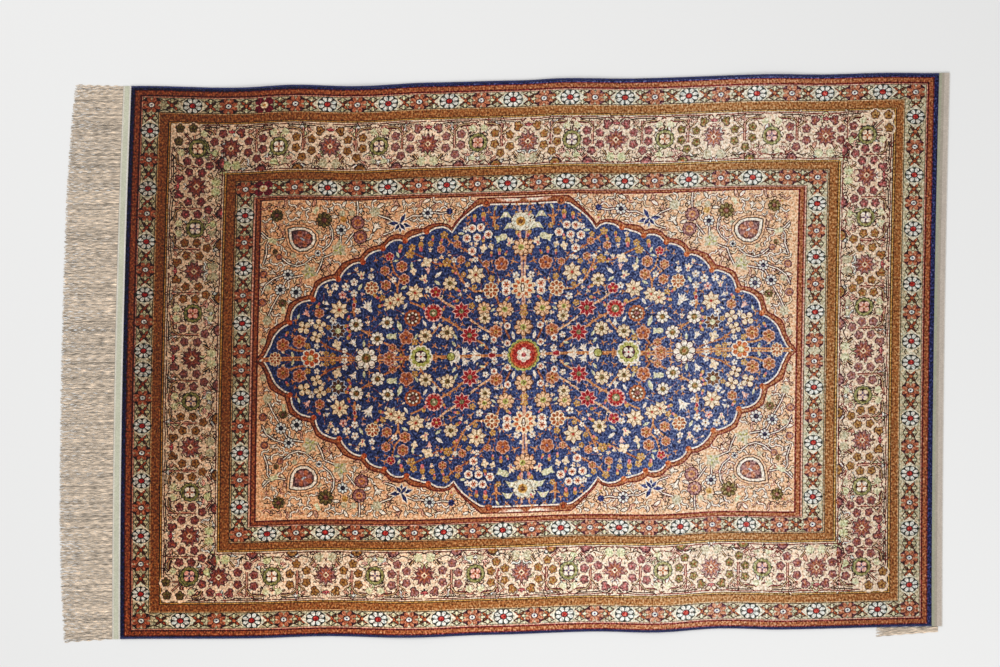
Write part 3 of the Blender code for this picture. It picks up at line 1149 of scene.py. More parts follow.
def paint_borders(chart, detail):
    """The four sides of the main border."""
    for across, along, out_x, out_y in BORDER_CORNERS:
        border_corner(chart, complex(across, along), out_x, out_y, detail)
    for side, listed in BORDERS:
        middle, ahead, outward, width = border_frame(side)
        things = sorted((float(word[1:]), word[0]) for word in listed.split())
        for number, ((first, kind), (second, _)) in enumerate(zip(things, things[1:])):
            begin, finish = (first, second) if kind == "S" else (second, first)
            way = ahead if finish > begin else -ahead
            stretch = abs(finish - begin) / UNIT
            place = UnitPlace(middle(begin), way, outward, stretch, width / (2 * UNIT_HALF))
            border_unit(chart, place, number // 2, detail)
        for number, (at, kind) in enumerate(things):
            here = spot(middle(at), 0.0 if ahead == 1 else 90.0)
            if kind == "R":
                inner = ("pink", "ivory", "white")[number % 3]
                rosette(chart, here, inner, "copper" if number % 4 == 2 else "violet")
            else:
                petals = "mauve" if number % 4 == 3 else "plum"
                star(chart, here, petals, "rust" if number % 4 == 1 else "copper")


# Field and medallion. The upper left quarter is charted as it lies in the photograph, in pixels,
# which are as large as the chart's squares, and is then mirrored for the other three.
MIDDLE = complex(400.0, 278.6)
MIDDLE_PIXEL = (523.7, 353.8)
SEEN_TILT = 0.009
CHART_TILT = 0.024
RIGHT_STRETCH = 1.018


def seen(x, y):
    """Place in the quarter, squares left and up from the medallion's middle, of a pixel."""
    offset = complex(x - MIDDLE_PIXEL[0], MIDDLE_PIXEL[1] - y)
    offset *= cmath.exp(-1j * VIEW_TURN)
    return complex(SEEN_TILT * offset.imag - offset.real, offset.imag)


def seen_all(pixels):
    """Places of several pixels."""
    return [seen(x, y) for x, y in pixels]


def quarter_placings():
    """Placings of the four quarters, left ones first."""
    for side in (-1, 1):
        stretch = RIGHT_STRETCH if side > 0 else 1.0
        for up in (1, -1):
            def move(point, side=side, stretch=stretch, up=up):
                rise = up * point.imag
                return MIDDLE + complex(side * stretch * point.real - CHART_TILT * rise, rise)
            yield move


QUARTERS = tuple(quarter_placings())

# Outer edge of the medallion's rust band, from its tip at the left to the top
BAND_OUTSIDE = (
    (256.5, 359.2), (259.5, 354), (262.4, 351.5), (266.5, 342), (268.4, 334), (270.5, 328.6),
    (275.7, 325), (281.5, 321.7), (284.9, 319.6), (286.6, 313.6), (289, 303.9), (294.1, 299.6),
    (302.1, 295.8), (310, 293.8), (312.5, 288.9), (315.4, 280.3), (320, 277.2), (327.4, 274),
    (334.4, 271.9), (335.9, 269.6), (339.4, 265), (342.2, 260.7), (347.6, 258.2), (352.9, 256),
    (359.4, 255.4), (362, 252.2), (364.7, 248.6), (368.5, 245.5), (373.3, 243.5), (379.6, 242.6),
    (383.9, 239.7), (387.1, 235.9), (390.4, 233.3), (397, 232), (403.6, 233.6), (406.4, 230.6),
    (410.6, 228.4), (416, 227.2), (423.2, 226.8), (427, 224.4), (431.6, 222.6), (440.7, 221.6),
    (447.6, 223.2), (451.4, 226.4), (455, 220.5), (466.3, 208.8), (474, 201), (478, 197.6),
    (523.7, 196.6),
)

# White line inside the band, with a cusp after every lobe
BAND_INSIDE = (
    (260.1, 359.2), (263.7, 357.2), (266.5, 353.1), (268.8, 348.3), (271, 344), (273.2, 338),
    (275.6, 333.4), (279.6, 329), (285.2, 324.8), (291, 322.4), (291.2, 317.4), (292.2, 311.2),
    (294.7, 306.7), (298, 303.3), (302.4, 300.8), (308.6, 299), (314.4, 299.2), (315.2, 294.1),
    (316.8, 289), (318.8, 284.9), (321.7, 282), (327.4, 279), (333.2, 277), (339.2, 278),
    (341.6, 272.1), (344.7, 268), (348.4, 264.2), (352.9, 261.2), (358, 259.6), (363.6, 260.4),
    (365.4, 255.3), (368.3, 251.9), (372.9, 249.2), (377.8, 247.6), (383.4, 247.2), (386.1, 243.5),
    (389.2, 240.2), (393.7, 238), (399.6, 237.6), (405.6, 240), (408, 237), (412, 234.8),
    (416.8, 233.4), (421.6, 231.6), (427.4, 231.4), (430.6, 228.6), (434.6, 226.4), (441.8, 225.2),
    (446.8, 226.8), (451.6, 231), (455.6, 224.6), (460.4, 218.6), (469.4, 211), (477, 205.4),
    (484, 203.6), (523.7, 203.2),
)
CUSPS = (
    (290, 321.2), (313.2, 298), (338.3, 276.6), (362.8, 259.2), (382.6, 245.8), (404.8, 238.6),
    (426.2, 229.8),
)

# The knob where the band meets each flat end, and the pale arcs beside it
KNOB = (485.6, 201.8)
ARCS = (
    ("blush", ((494, 197.6), (500, 200.2), (510, 201.2), (518, 200.2), (522, 197.4))),
    ("white", ((502, 198), (506, 199.6), (512, 200.2), (518, 199.4), (519.6, 197.8))),
)

# Medallion flowers: name, pixel x and y, radius, and where they point in degrees from left to up
FLOWERS = (
    ("rusty", 275.6, 358.6, 6.5, 0), ("fan_palmette", 311, 357.6, 10, 0),
    ("half_palm", 451, 355.2, 9, 0), ("white_leaf", 457.8, 355, 5.6, 90),
    ("hand", 464.6, 350.4, 6.4, 120), ("hand", 476.2, 352.6, 6.8, 10),
    ("red_bud", 492, 354.6, 4.2, 0), ("fiery", 389.3, 357.4, 6, 0),
    ("daisy", 366.5, 357.3, 11.8, 0), ("green_rosette", 421, 356.5, 11.8, 0),
    ("topflower", 525.4, 220.4, 10, 0), ("peach", 525.2, 246.2, 9.4, 0),
    ("palmette", 524, 286.8, 12.4, 0), ("peach", 523.9, 326, 9.6, 0),
    ("fiery", 283.4, 343.8, 6.8, 0), ("fiery", 299.6, 340.4, 7, 0), ("bud", 287.3, 332.6, 3.2, 120),
    ("four_petals", 304.4, 326.4, 7, 10), ("four_petals", 320, 323.6, 6.6, 30),
    ("four_petals", 316.6, 335.4, 6.2, 20), ("twig", 325, 344.4, 4.4, 60),
    ("cream_leaf", 337.8, 343.6, 7, 70), ("brownstar", 338.3, 328.6, 9, 0),
    ("hand", 354, 340.6, 5.6, 60), ("pink_hand", 307.4, 312.4, 5.4, 50),
    ("fiery", 319.6, 311.4, 5.2, 0), ("hand", 327.2, 301.4, 3.6, 30),
    ("white_leaf", 329, 314.8, 2.8, 150), ("white_leaf", 326.8, 306.6, 2.2, 0),
    ("creamstar", 339.4, 307.4, 10.4, 0), ("tulip", 330.2, 291.8, 4.8, 90),
    ("tiny", 334.9, 284.4, 4, 0), ("tiny", 345.8, 284.4, 4.2, 0), ("pinktiny", 342.6, 292.4, 4, 0),
    ("tiny", 354.2, 279.4, 4, 0), ("tiny", 354.2, 290.6, 3.8, 0),
    ("red_bud", 354.2, 302.6, 2.8, 90), ("daisy", 356.2, 322, 7.8, 0),
    ("tulip", 361.6, 273.6, 5.8, 80), ("leaf", 360.4, 283.8, 3.8, 120),
    ("rusty", 371.6, 285.2, 7.4, 0), ("pink_hand", 363, 291.2, 3, 0),
    ("hand", 368.6, 304.4, 8.4, 58), ("twig", 374.2, 316.6, 3.6, 140),
    ("twig", 369.2, 330.2, 4.6, 100), ("daisy", 377.6, 336, 7.6, 0), ("daisy", 387.4, 320, 7, 0),
    ("fish", 392.2, 333.7, 6, 0), ("fiery", 392.6, 345.2, 4.4, 0), ("leaf", 399.4, 323.2, 5.6, 70),
    ("fiery", 385.9, 282.6, 5.4, 0), ("fiery", 404, 277, 5.8, 0),
    ("creamstar", 390.4, 300.6, 8.4, 0), ("creamstar", 398.2, 297, 8.4, 25),
    ("creamstar", 415, 290.8, 10, 10), ("white_leaf", 405.6, 303.4, 3.6, 120),
    ("dotted", 412.6, 315.8, 8.6, 0), ("peachrose", 406.4, 335.2, 7.4, 0),
    ("mallow", 425.4, 333.4, 7.6, 0), ("white_leaf", 424.6, 320.8, 3.6, 60),
    ("bud", 423.6, 304.6, 4, 70), ("tulip", 424.6, 278.2, 6.4, 60),
    ("redfive", 435.6, 290.2, 5.9, 0), ("big_red", 433.4, 310.8, 9.2, 0),
    ("hand", 433.9, 324, 5, 270), ("twig", 435, 343.8, 4, 40), ("mallow", 449.8, 281.6, 7.6, 0),
    ("creamstar", 475.4, 273.6, 10.6, 50), ("twig", 450.6, 294.2, 5, 20),
    ("twig", 469.6, 295.4, 4.6, 40), ("redstar", 461.3, 309.6, 9.8, 0),
    ("redstar", 469.6, 333.8, 9.8, 0), ("mallow", 447.2, 330.6, 8, 0),
    ("peach", 483.8, 307.4, 7.6, 0), ("mallow", 484.6, 317, 6.6, 0), ("rusty", 490.8, 289, 8.2, 0),
    ("ring_star", 506, 283.4, 5.2, 0), ("ring_star", 506, 290.4, 4.6, 0),
    ("peach", 504.8, 308.2, 9.2, 0), ("fiery", 495.8, 330.4, 7, 0),
    ("ring_star", 493.8, 338.6, 3.4, 0), ("ring_star", 507.2, 324.8, 3.6, 0),
    ("ring_star", 507.2, 342, 3.6, 0), ("white_leaf", 513, 333.8, 4.2, 80),
    ("bud", 399.9, 246.4, 4.6, 100), ("goldfive", 409.6, 252.2, 4.6, 0),
    ("redfive", 389.4, 254.2, 4.6, 0), ("fiery", 384.8, 267.8, 5, 0), ("fiery", 401.6, 264.2, 6, 0),
    ("bud", 420.6, 244.8, 5.4, 90), ("tulip", 421.4, 237.4, 3.8, 90),
    ("bud", 432.4, 236.4, 3.2, 90), ("goldfive", 430.3, 241.8, 3.2, 0),
    ("goldfive", 443.8, 233.4, 4, 0), ("fiery", 440.8, 247.4, 4.4, 0),
    ("twig", 449.4, 240.8, 4.6, 120), ("fiery", 457, 242.8, 4.2, 0),
    ("cream_leaf", 425.2, 261.2, 7.6, 150), ("cream_leaf", 413.4, 270, 5, 80),
    ("pink_hand", 428, 268.6, 4.8, 90), ("white_leaf", 438.4, 272.4, 4.4, 140),
    ("goldfive", 446.8, 260.8, 4.8, 0), ("bud", 454, 270.4, 3.6, 40),
    ("fiery", 460.8, 258.2, 4.4, 0), ("bud", 474, 217, 4.2, 90), ("bud", 482.8, 215.6, 5.2, 90),
    ("twig", 494, 218, 7, 90), ("ring_star", 471.4, 227.2, 4.4, 0),
    ("ring_star", 480.2, 226.4, 4.2, 20), ("ring_star", 466.4, 236.9, 4.4, 10),
    ("ring_star", 476.6, 236.3, 4.2, 0), ("ring_star", 487.9, 233.4, 4.4, 25),
    ("ring_star", 471.8, 249.8, 4.4, 0), ("bell", 505.2, 215.6, 6, 0), ("bell", 509, 226.8, 6.2, 0),
    ("fish", 500.4, 237, 7, 160), ("goldfive", 496, 226.2, 3, 0), ("bud", 516.4, 212.8, 3, 60),
    ("bud", 517.6, 233, 4.2, 60), ("cream_leaf", 482.8, 248, 5.6, 100),
    ("cream_leaf", 491, 246, 4.4, 70), ("tulip", 508.8, 242.4, 6.6, 120), ("bud", 491, 253, 3, 90),
    ("bud", 499, 250.4, 3.8, 90), ("fiery", 485.8, 262.8, 4, 0),
    ("peachrose", 501.2, 262.8, 7.4, 0), ("twig", 513.2, 260.2, 5, 20),
    ("cream_leaf", 520.6, 267, 3.6, 30),
)

# Stems of the medallion, as pixels along each one
STEMS = (
    ("tan", 1.6, ((262, 359.2), (320, 358.2), (400, 357.2), (460, 355.6), (508, 354.2))),
    ("blush", 1.7, ((524, 340), (524.4, 314), (524, 298), (524.6, 262), (526.2, 232), (526.4, 206))),
    ("tan", 1.6, ((488, 348), (484, 343), (476, 338.5), (466, 331), (455, 323), (441, 315))),
    ("peach", 1.7, (
        (498, 334), (488.7, 330.4), (478.5, 324.6), (469.6, 317.6), (456, 306.6), (444.6, 300.4),
        (436, 293.2))),
    ("tan", 1.7, (
        (492, 290), (482.3, 289.8), (474.6, 290.2), (469.4, 286.6), (463.2, 280.8), (458.4, 273),
        (454.6, 265), (451.4, 255))),
    ("tan", 1.6, ((397, 296), (397.4, 285), (395.2, 280.8), (386.6, 273.2), (380, 268.6))),
    ("tan", 1.5, ((397.6, 284), (400, 276), (394, 270), (391.4, 262), (390.8, 256))),
    ("rust", 1.8, ((405, 357), (403.4, 350.8), (400.6, 345.6), (406, 338))),
    ("tan", 1.5, ((401, 349), (393, 344), (384, 340))),
    ("tan", 1.5, ((372, 333), (364, 328.6), (357, 324))),
    ("tan", 1.6, ((354.6, 314), (354.4, 300), (354, 292))),
    ("rust", 1.6, ((350, 352), (342, 349), (330, 346), (318, 338))),
    ("tan", 1.6, ((310, 350), (298, 349.6), (288, 346))),
    ("rust", 1.7, ((511, 340), (506, 330), (503.6, 318), (497, 298), (492, 280), (487, 268))),
    ("tan", 1.5, ((420, 345), (424, 338), (434, 330), (440, 322))),
    ("tan", 1.5, ((424, 306), (418, 303), (410, 300))),
    ("rust", 1.5, ((456.8, 268.6), (447, 262.6), (436, 262), (424, 256), (411, 250))),
    ("rust", 1.4, ((487, 268), (478, 258), (470, 252), (460, 246), (450, 240), (444, 234))),
    ("rust", 1.5, ((492.4, 226), (493.2, 216), (494.4, 206))),
)

# Corner motifs of the field, in the same way
CORNER_MOTIFS = (
    ("oliveflower", 276.4, 214, 6.8, 90), ("bud", 269.8, 209.8, 2.4, 0),
    ("field_hand", 287.6, 212.4, 4.6, 100), ("field_hand", 298.2, 213, 4.8, 80),
    ("fish", 315.2, 208.8, 4.6, 120), ("oliveflower", 323.6, 217.8, 8.4, 0),
    ("fish", 272.6, 239.4, 5.4, 20), ("field_hand", 272.2, 228.8, 4, 10),
    ("oliveflower", 275, 250.2, 3, 0), ("plumrose", 279, 255.7, 3.6, 0),
    ("patch", 293.4, 254, 2.8, 0), ("patch", 317.6, 230.6, 3, 0),
    ("greyflower", 317.6, 251.4, 3.8, 0), ("maple", 338.8, 247.4, 11, 90),
    ("greyflower", 340.8, 227.2, 6.2, 0), ("plumrose", 357.1, 219.6, 7.4, 0),
    ("plumrose", 359.9, 234, 7.4, 20), ("patch", 374.5, 209.2, 5.4, 0),
    ("patch", 341.8, 210.4, 3.4, 0), ("tan_patch", 342.8, 216.4, 3.4, 0),
    ("patch", 351.4, 209.8, 3.2, 0), ("field_hand", 375.2, 224.6, 7, 120),
    ("field_hand", 377.4, 238.4, 5.6, 190), ("field_hand", 353.2, 246.4, 4.8, 260),
    ("patch", 369.8, 247.2, 3.2, 0), ("bird", 399.4, 221.6, 12, 0),
    ("greyflower", 427, 211.2, 6.4, 0), ("blue_patch", 448.9, 209.7, 3.6, 0),
    ("field_hand", 414, 208, 4.4, 90), ("maple", 309.4, 271.2, 11.4, 70),
    ("greyflower", 287.9, 273.4, 6, 0), ("greyflower", 280.4, 288.4, 6.4, 0),
    ("greyflower", 296.2, 291, 7, 0), ("oliveflower", 282.8, 302, 4.6, 0),
    ("fish", 283.6, 309.4, 4.4, 90), ("plumrose", 263.6, 272.4, 4.2, 0),
    ("plumrose", 262.6, 300.6, 4.4, 0), ("patch", 267.6, 319, 5, 0), ("patch", 264, 340, 4, 0),
    ("patch", 268, 286.6, 3.4, 0), ("field_hand", 458, 203.6, 4.2, 40),
    ("bud", 449, 218.6, 2.6, 90),
)
TEARDROP = (302.0, 237.6)

# Pale stems of the field's corners, as pixels along each one
FIELD_STEMS = (
    ((327, 219), (331.5, 227), (332.4, 236), (329, 243), (322, 249)),
    ((316, 273), (320.6, 263), (322.8, 255.5), (329, 253), (337, 249)),
    ((282, 257), (288.6, 262.4), (297, 265), (304.6, 262.6), (311, 257)),
    ((261, 230), (267, 236), (275, 239), (284, 237)),
    ((263, 262), (266.4, 252), (266, 243), (270, 237)),
    ((345, 241), (349, 235.6), (353, 230)),
    ((356.4, 198), (357.4, 204.6), (357, 212)),
    ((340, 233), (340.6, 240), (339, 246)),
    ((372, 208), (379, 213), (388, 216), (394, 221)),
    ((383, 232), (392, 229), (398, 222)),
    ((404, 218), (412, 214), (420, 214), (428, 210), (440, 212), (449, 210)),
    ((268, 316), (272, 306), (277, 297), (282, 289)),
    ((283, 285), (286, 279), (293, 276), (303, 274)),
    ((262, 292), (266, 283), (274, 277), (283, 274)),
)


def teardrop(chart, place):
    """The field corner's white ring round a plum flower."""
    loop = [14.0 + 10.0j, 13.4 + 2.6j, 12.0 - 4.0j, 8.4 - 9.6j, 2.6 - 12.4j, -4.4 - 11.8j, -10.4 - 7.8j,
            -13.6 - 1.6j, -13.0 + 4.4j, -8.6 + 9.0j, -1.6 + 11.4j, 7.0 + 11.6j]
    for scale, dye in ((1.27, "wine"), (1.21, "peach"), (1.07, "ink"), (0.98, "white"), (0.79, "dusk")):
        chart.paint(dye, placed(place, [point * scale for point in loop]))
    for k in range(8):
        turn = 22 + 45 * k
        reach = 10.2 - 1.7 * abs(math.sin(math.radians(turn)))
        chart.petal("salmon" if k % 2 else "mauve", place, turn, 1.6, reach, 5.6)
    chart.paint("pale_blue", placed(place, [-2.8 - 1.0j, -1.0 - 1.8j, 2.4 + 0.6j, 1.2 + 1.8j]))


def inside(loop, point):
    """Whether a point lies inside a loop."""
    crossings = 0
    for a, b in zip(loop, loop[1:] + loop[:1]):
        if (a.imag > point.imag) != (b.imag > point.imag):
            cut = a.real + (point.imag - a.imag) * (b.real - a.real) / (b.imag - a.imag)
            crossings += cut > point.real
    return crossings % 2 == 1


def free_places(chance, taken, tries, radius, allowed):
    """Places for small fillers that stay clear of the circles already taken."""
    found = []
    for _ in range(tries):
        here = complex(chance.uniform(0.0, QUARTER_REACH[0]), chance.uniform(0.0, QUARTER_REACH[1]))
        if allowed(here) and all(abs(here - centre) > size + radius for centre, size in taken):
            taken.append((here, radius))
            found.append(here)
    return found


def whole_loop(quarter):
    """A loop round all four quarters from the points of one."""
    upper_left, lower_left, upper_right, lower_right = [placed(move, quarter) for move in QUARTERS]
    return upper_left + upper_right[::-1][1:] + lower_right[1:] + lower_left[::-1][1:-1]


def quarter_spot(move, centre, turn=0.0, size=1.0):
    """Placing of a motif in one quarter; its own +1 is left and +1j is up."""
    return within(move, spot(centre, turn, size))


def paint_medallion_band(chart):
    """The rust band with its white inner line, its cusps and the blue ground."""
    outer, inner = whole_loop(seen_all(BAND_OUTSIDE)), whole_loop(seen_all(BAND_INSIDE))
    chart.paint("rust", outer)
    chart.line("ink_red", 1.5, outer + outer[:1])
    chart.line("ink_red", 4.0, inner + inner[:1])
    chart.paint("blue", inner)
    chart.line("white", 1.5, inner + inner[:1])
    for move in QUARTERS:
        for cusp in CUSPS:
            chart.disc("ember", quarter_spot(move, seen(*cusp)), 3.0, 7)
        for dye, radius, sides in (("rust", 4.6, 8), ("ink_red", 2.6, 8), ("ember", 1.7, 6)):
            chart.disc(dye, quarter_spot(move, seen(*KNOB)), radius, sides)
        for dye, arc in ARCS:
            chart.paint(dye, placed(move, seen_all(arc)))


# Room that the drawn motifs keep from fillers, as shares of their radius or in squares
FLOWER_ROOM = 0.86
CORNER_ROOM = 0.9
ROUND_ROOM = 16.0
CENTRE_SIZE = 16.5
QUARTER_REACH = (264.0, 158.0)

# Random fillers: how many tries, and the radius that each keeps clear
SMALL_ROOM = (2800, 2.4)
TINY_ROOM = (1800, 1.4)
SCROLL_ROOM = (9000, 2.75)
HOOK_ROOM = (5000, 1.05)

# Bare rims inside the band, outside it, and at the field's edge
GROUND_RIM = 5.0
BAND_RIM = 3.2
FIELD_RIM = 2.6

SMALL_FILLERS = ("twig", "tulip", "bud", "goldfive", "tiny", "leaf", "branch", "twig", "twig")
TINY_FILLERS = ("dot", "shade", "shade", "shade", "speck")


def paint_medallion(chart, detail):
    """The flowers and stems on the blue ground."""
    edge = seen_all(BAND_INSIDE)
    ground = edge + [seen(*MIDDLE_PIXEL)]
    taken = [(seen(x, y), FLOWER_ROOM * size) for _, x, y, size, _ in FLOWERS]
    taken.append((0j, ROUND_ROOM))
    chance = random.Random(7)

    def allowed(here):
        return inside(ground, here) and min(abs(here - point) for point in edge) > GROUND_RIM

    fillers = []
    if detail:
        for here in free_places(chance, taken, *SMALL_ROOM, allowed):
            name = chance.choice(SMALL_FILLERS)
            fillers.append((name, here, chance.uniform(0, 360), chance.uniform(2.8, 3.9)))
        for here in free_places(chance, taken, *TINY_ROOM, allowed):
            name = chance.choice(TINY_FILLERS)
            fillers.append((name, here, chance.uniform(0, 360), chance.uniform(0.9, 1.6)))
    for move in QUARTERS:
        for dye, width, points in STEMS:
            chart.line(dye, 1.2 * width, placed(move, seen_all(points)))
        for name, here, turn, size in fillers:
            draw(chart, name, quarter_spot(move, here, turn, size))
        for name, x, y, size, turn in FLOWERS:
            draw(chart, name, quarter_spot(move, seen(x, y), turn, size))
    draw(chart, "centre_rosette", spot(MIDDLE, 0, CENTRE_SIZE))


SCROLL_DYES = ("white", "cream", "blush", "white", "white")
SCROLL_EDGES = ("ink", "ink_red", "wine", "ink")
SCROLL_KINDS = (curl, forked_leaf, scroll, curl, field_leaf, curl)


def paint_field(chart, detail):
    """The field's corners with their scrolls, then the medallion."""
    rim = seen_all(BAND_OUTSIDE)
    outline = rim + [seen(*MIDDLE_PIXEL)]
    taken = [(seen(x, y), CORNER_ROOM * size) for _, x, y, size, _ in CORNER_MOTIFS]
    taken.append((seen(*TEARDROP), ROUND_ROOM))
    chance = random.Random(19)
    left, _, _, far = STRIPES[FIELD_STRIPE][1:]
    reach = complex(MIDDLE.real - left, CHART_WIDTH - far - MIDDLE.imag)

    def allowed(here):
        drawn = QUARTERS[0](here) - MIDDLE
        if -drawn.real >= reach.real - FIELD_RIM or drawn.imag >= reach.imag - FIELD_RIM:
            return False
        return not inside(outline, here) and min(abs(here - point) for point in rim) > BAND_RIM

    scrolls = []
    if detail:
        for here in free_places(chance, taken, *SCROLL_ROOM, allowed):
            dye = chance.choice(SCROLL_DYES)
            edge = chance.choice(SCROLL_EDGES)
            kind = chance.choice(SCROLL_KINDS)
            scrolls.append((kind, here, chance.uniform(0, 360), dye, edge, chance.uniform(0.85, 1.15)))
        for here in free_places(chance, taken, *HOOK_ROOM, allowed):
            scrolls.append((None, here, chance.uniform(0, 360), None, "ink", chance.uniform(0.8, 1.1)))
    for move in QUARTERS:
        for kind, here, turn, dye, edge, size in scrolls:
            if kind is None:
                squiggle(chart, quarter_spot(move, here, turn, 0.9), edge, size)
            else:
                kind(chart, quarter_spot(move, here, turn, size), dye, edge)
        for points in FIELD_STEMS if detail else ():
            double_stem(chart, placed(move, seen_all(points)), "white", "wine", 3.0)
        for name, x, y, size, turn in CORNER_MOTIFS:
            draw(chart, name, quarter_spot(move, seen(x, y), turn, size))
        teardrop(chart, quarter_spot(move, seen(*TEARDROP)))
    paint_medallion_band(chart)
    paint_medallion(chart, detail)


def build_chart(detail=True):
    """The whole design, or a plain version without its smallest things."""
    chart = Chart(plain=not detail)
    paint_stripes(chart)
    paint_guards(chart, detail)
    paint_borders(chart, detail)
    paint_field(chart, detail)
    return chart


# Mesh of the design


def mesh_object(name, points, faces, material):
    """An object from points and faces."""
    mesh = bpy.data.meshes.new(name)
    mesh.from_pydata(np.asarray(points).tolist(), [], faces)
    mesh.materials.append(material)
    made = bpy.data.objects.new(name, mesh)
    bpy.context.scene.collection.objects.link(made)
    return made


def tint(made, palette, numbers):
    """Gives every face corner the tone of its face: its number in a palette of sRGB values."""
    colours = np.array([[*map(linear, tone), 1.0] for tone in palette])
    corners = np.repeat(numbers, [len(face.vertices) for face in made.data.polygons])
    layer = made.data.color_attributes.new("dye", "FLOAT_COLOR", "CORNER")
    layer.data.foreach_set("color", colours[corners].ravel().astype(np.float32))


def grid_lines(low, high):
    """Short lines across the stripes, so that their long edges follow the rug's outline."""
    points, edges = [], []

    def rule(first, last):
        first = complex(max(first.real, low.real), max(first.imag, low.imag))
        last = complex(min(last.real, high.real), min(last.imag, high.imag))
        if (last - first).real >= 0 and (last - first).imag >= 0 and abs(last - first) > 1.0:
            points.extend((first, last))
            edges.append((len(points) - 2, len(points) - 1))

    for column in (EDGE_ROUND, CHART_LENGTH - EDGE_ROUND):
        if low.real < column < high.real:
            rule(complex(column, low.imag), complex(column, high.imag))
    for start, finish in GRID_BANDS:
        for column in np.arange(GRID_STEP, CHART_LENGTH, GRID_STEP):
            if low.real < column < high.real:
                rule(complex(column, start), complex(column, finish))
                rule(complex(column, CHART_WIDTH - finish), complex(column, CHART_WIDTH - start))
        for row in np.arange(GRID_STEP, CHART_WIDTH, GRID_STEP):
            if low.imag < row < high.imag:
                rule(complex(start, row), complex(finish, row))
                rule(complex(CHART_LENGTH - finish, row), complex(CHART_LENGTH - start, row))
    return points, edges


def flat_points(points):
    """Complex numbers as the flat vectors the triangulation takes."""
    return [Vector((point.real, point.imag)) for point in points]


def shown_dyes(chart, low, high):
    """Triangles of one rectangle with every loop cut in, and the topmost dye of each."""
    points = [low, complex(high.real, low.imag), high, complex(low.real, high.imag)]
    faces = [[0, 1, 2, 3]]
    dyes = [0]
    for dye, loop in zip(chart.dyes, chart.loops):
        alongs = [point.real for point in loop]
        acrosses = [point.imag for point in loop]
        beside = max(alongs) < low.real or min(alongs) > high.real
        if beside or max(acrosses) < low.imag or min(acrosses) > high.imag:
            continue
        faces.append(list(range(len(points), len(points) + len(loop))))
        points += loop
        dyes.append(dye)
    found, _, triangles, _, _, sources = delaunay_2d_cdt(flat_points(points), [], faces, 1, WELD, True)
    kept = [(triangle, dyes[max(source)]) for triangle, source in zip(triangles, sources) if 0 in source]
    return [complex(point.x, point.y) for point in found], kept


def dye_borders(triangles):
    """Edges where two dyes meet or the rectangle ends, with the dyes on their left and right."""
    owner = {}
    for (a, b, c), dye in triangles:
        owner[a, b] = owner[b, c] = owner[c, a] = dye
    borders = {}
    for (a, b), dye in owner.items():
        other = owner.get((b, a), OUTSIDE)
        if other != dye and (b, a) not in borders:
            borders[a, b] = (dye, other)
    return borders


def join_straight(points, borders, low, high):
    """Leaves out the points of the borders that a straight edge passes closely."""
    ways = {}
    for a, b in borders:
        ways.setdefault(a, set()).add(b)
        ways.setdefault(b, set()).add(a)
    for middle, around in ways.items():
        if len(around) != 2:
            continue
        first, last = around
        if last in ways[first]:
            continue
        here = points[middle]
        run = points[last] - points[first]
        off = abs(((here - points[first]) * run.conjugate()).imag) / abs(run)
        gaps = (here - low, high - here)
        rim = min(min(gap.real, gap.imag) for gap in gaps)
        if off > (RIM_SLACK if rim < RIM_SLACK else JOIN_SLACK):
            continue
        sides = borders.pop((first, middle), None) or borders.pop((middle, first))[::-1]
        if (middle, last) in borders:
            del borders[middle, last]
        else:
            del borders[last, middle]
        borders[first, last] = sides
        ways[first].remove(middle)
        ways[last].remove(middle)
        ways[first].add(last)
        ways[last].add(first)
        around.clear()


def region_dyes(triangles, walls):
    """Dye of every triangle: the one that most of its region's walls have on that side."""
    owner = {}
    for number, (a, b, c) in enumerate(triangles):
        owner[a, b] = owner[b, c] = owner[c, a] = number
    dyes = [OUTSIDE] * len(triangles)
    seen_before = [False] * len(triangles)
    for start in range(len(triangles)):
        if seen_before[start]:
            continue
        seen_before[start] = True
        region, votes = [start], {}
        for number in region:
            a, b, c = triangles[number]
            for edge in ((a, b), (b, c), (c, a)):
                if edge in walls:
                    dye, long = walls[edge]
                    votes[dye] = votes.get(dye, 0.0) + long
                    continue
                other = owner.get(edge[::-1])
                if other is not None and not seen_before[other]:
                    seen_before[other] = True
                    region.append(other)
        votes.pop(OUTSIDE, None)
        top = max(votes, key=votes.get) if votes else 0
        for number in region:
            dyes[number] = top
    return dyes


def cut_tile(chart, low, high):
    """Clean triangles of one rectangle of the chart, and the dye each one shows."""
    points, triangles = shown_dyes(chart, low, high)
    borders = dye_borders(triangles)
    join_straight(points, borders, low, high)
    used = sorted({point for pair in borders for point in pair})
    order = {point: number for number, point in enumerate(used)}
    lines, line_edges = grid_lines(low, high)
    edges = [(order[a], order[b]) for a, b in borders]
    edges += [(len(used) + a, len(used) + b) for a, b in line_edges]
    flat = flat_points([points[number] for number in used] + lines)
    found, runs, triangles, _, sources, _ = delaunay_2d_cdt(flat, edges, [], 1, WELD, True)
    pairs = list(borders.items())
    walls = {}
    for (a, b), source in zip(runs, sources):
        for number in source:
            if number < len(pairs):
                (first, last), (left, right) = pairs[number]
                run = found[b] - found[a]
                ahead = points[last] - points[first]
                if run.x * ahead.real + run.y * ahead.imag < 0:
                    left, right = right, left
                walls[a, b] = (left, run.length)
                walls[b, a] = (right, run.length)
                break
    dyes = region_dyes(triangles, walls)
    return np.array([(point.x, point.y) for point in found]), np.array(triangles), np.array(dyes)


def rug_world(places, height):
    """World points of chart places at a height over the rug's underside."""
    along = places[:, 0] / CHART_LENGTH
    across = places[:, 1] / CHART_WIDTH
    x, y = on_rug(along, across)
    return np.stack([x, y, lift(along, across) + height], axis=1)


def rim_drop(places):
    """How far the pile's rounded ends sink."""
    rim = np.minimum(places[:, 0], CHART_LENGTH - places[:, 0])
    return EDGE_DROP * np.clip(1.0 - rim / EDGE_ROUND, 0.0, 1.0) ** 2


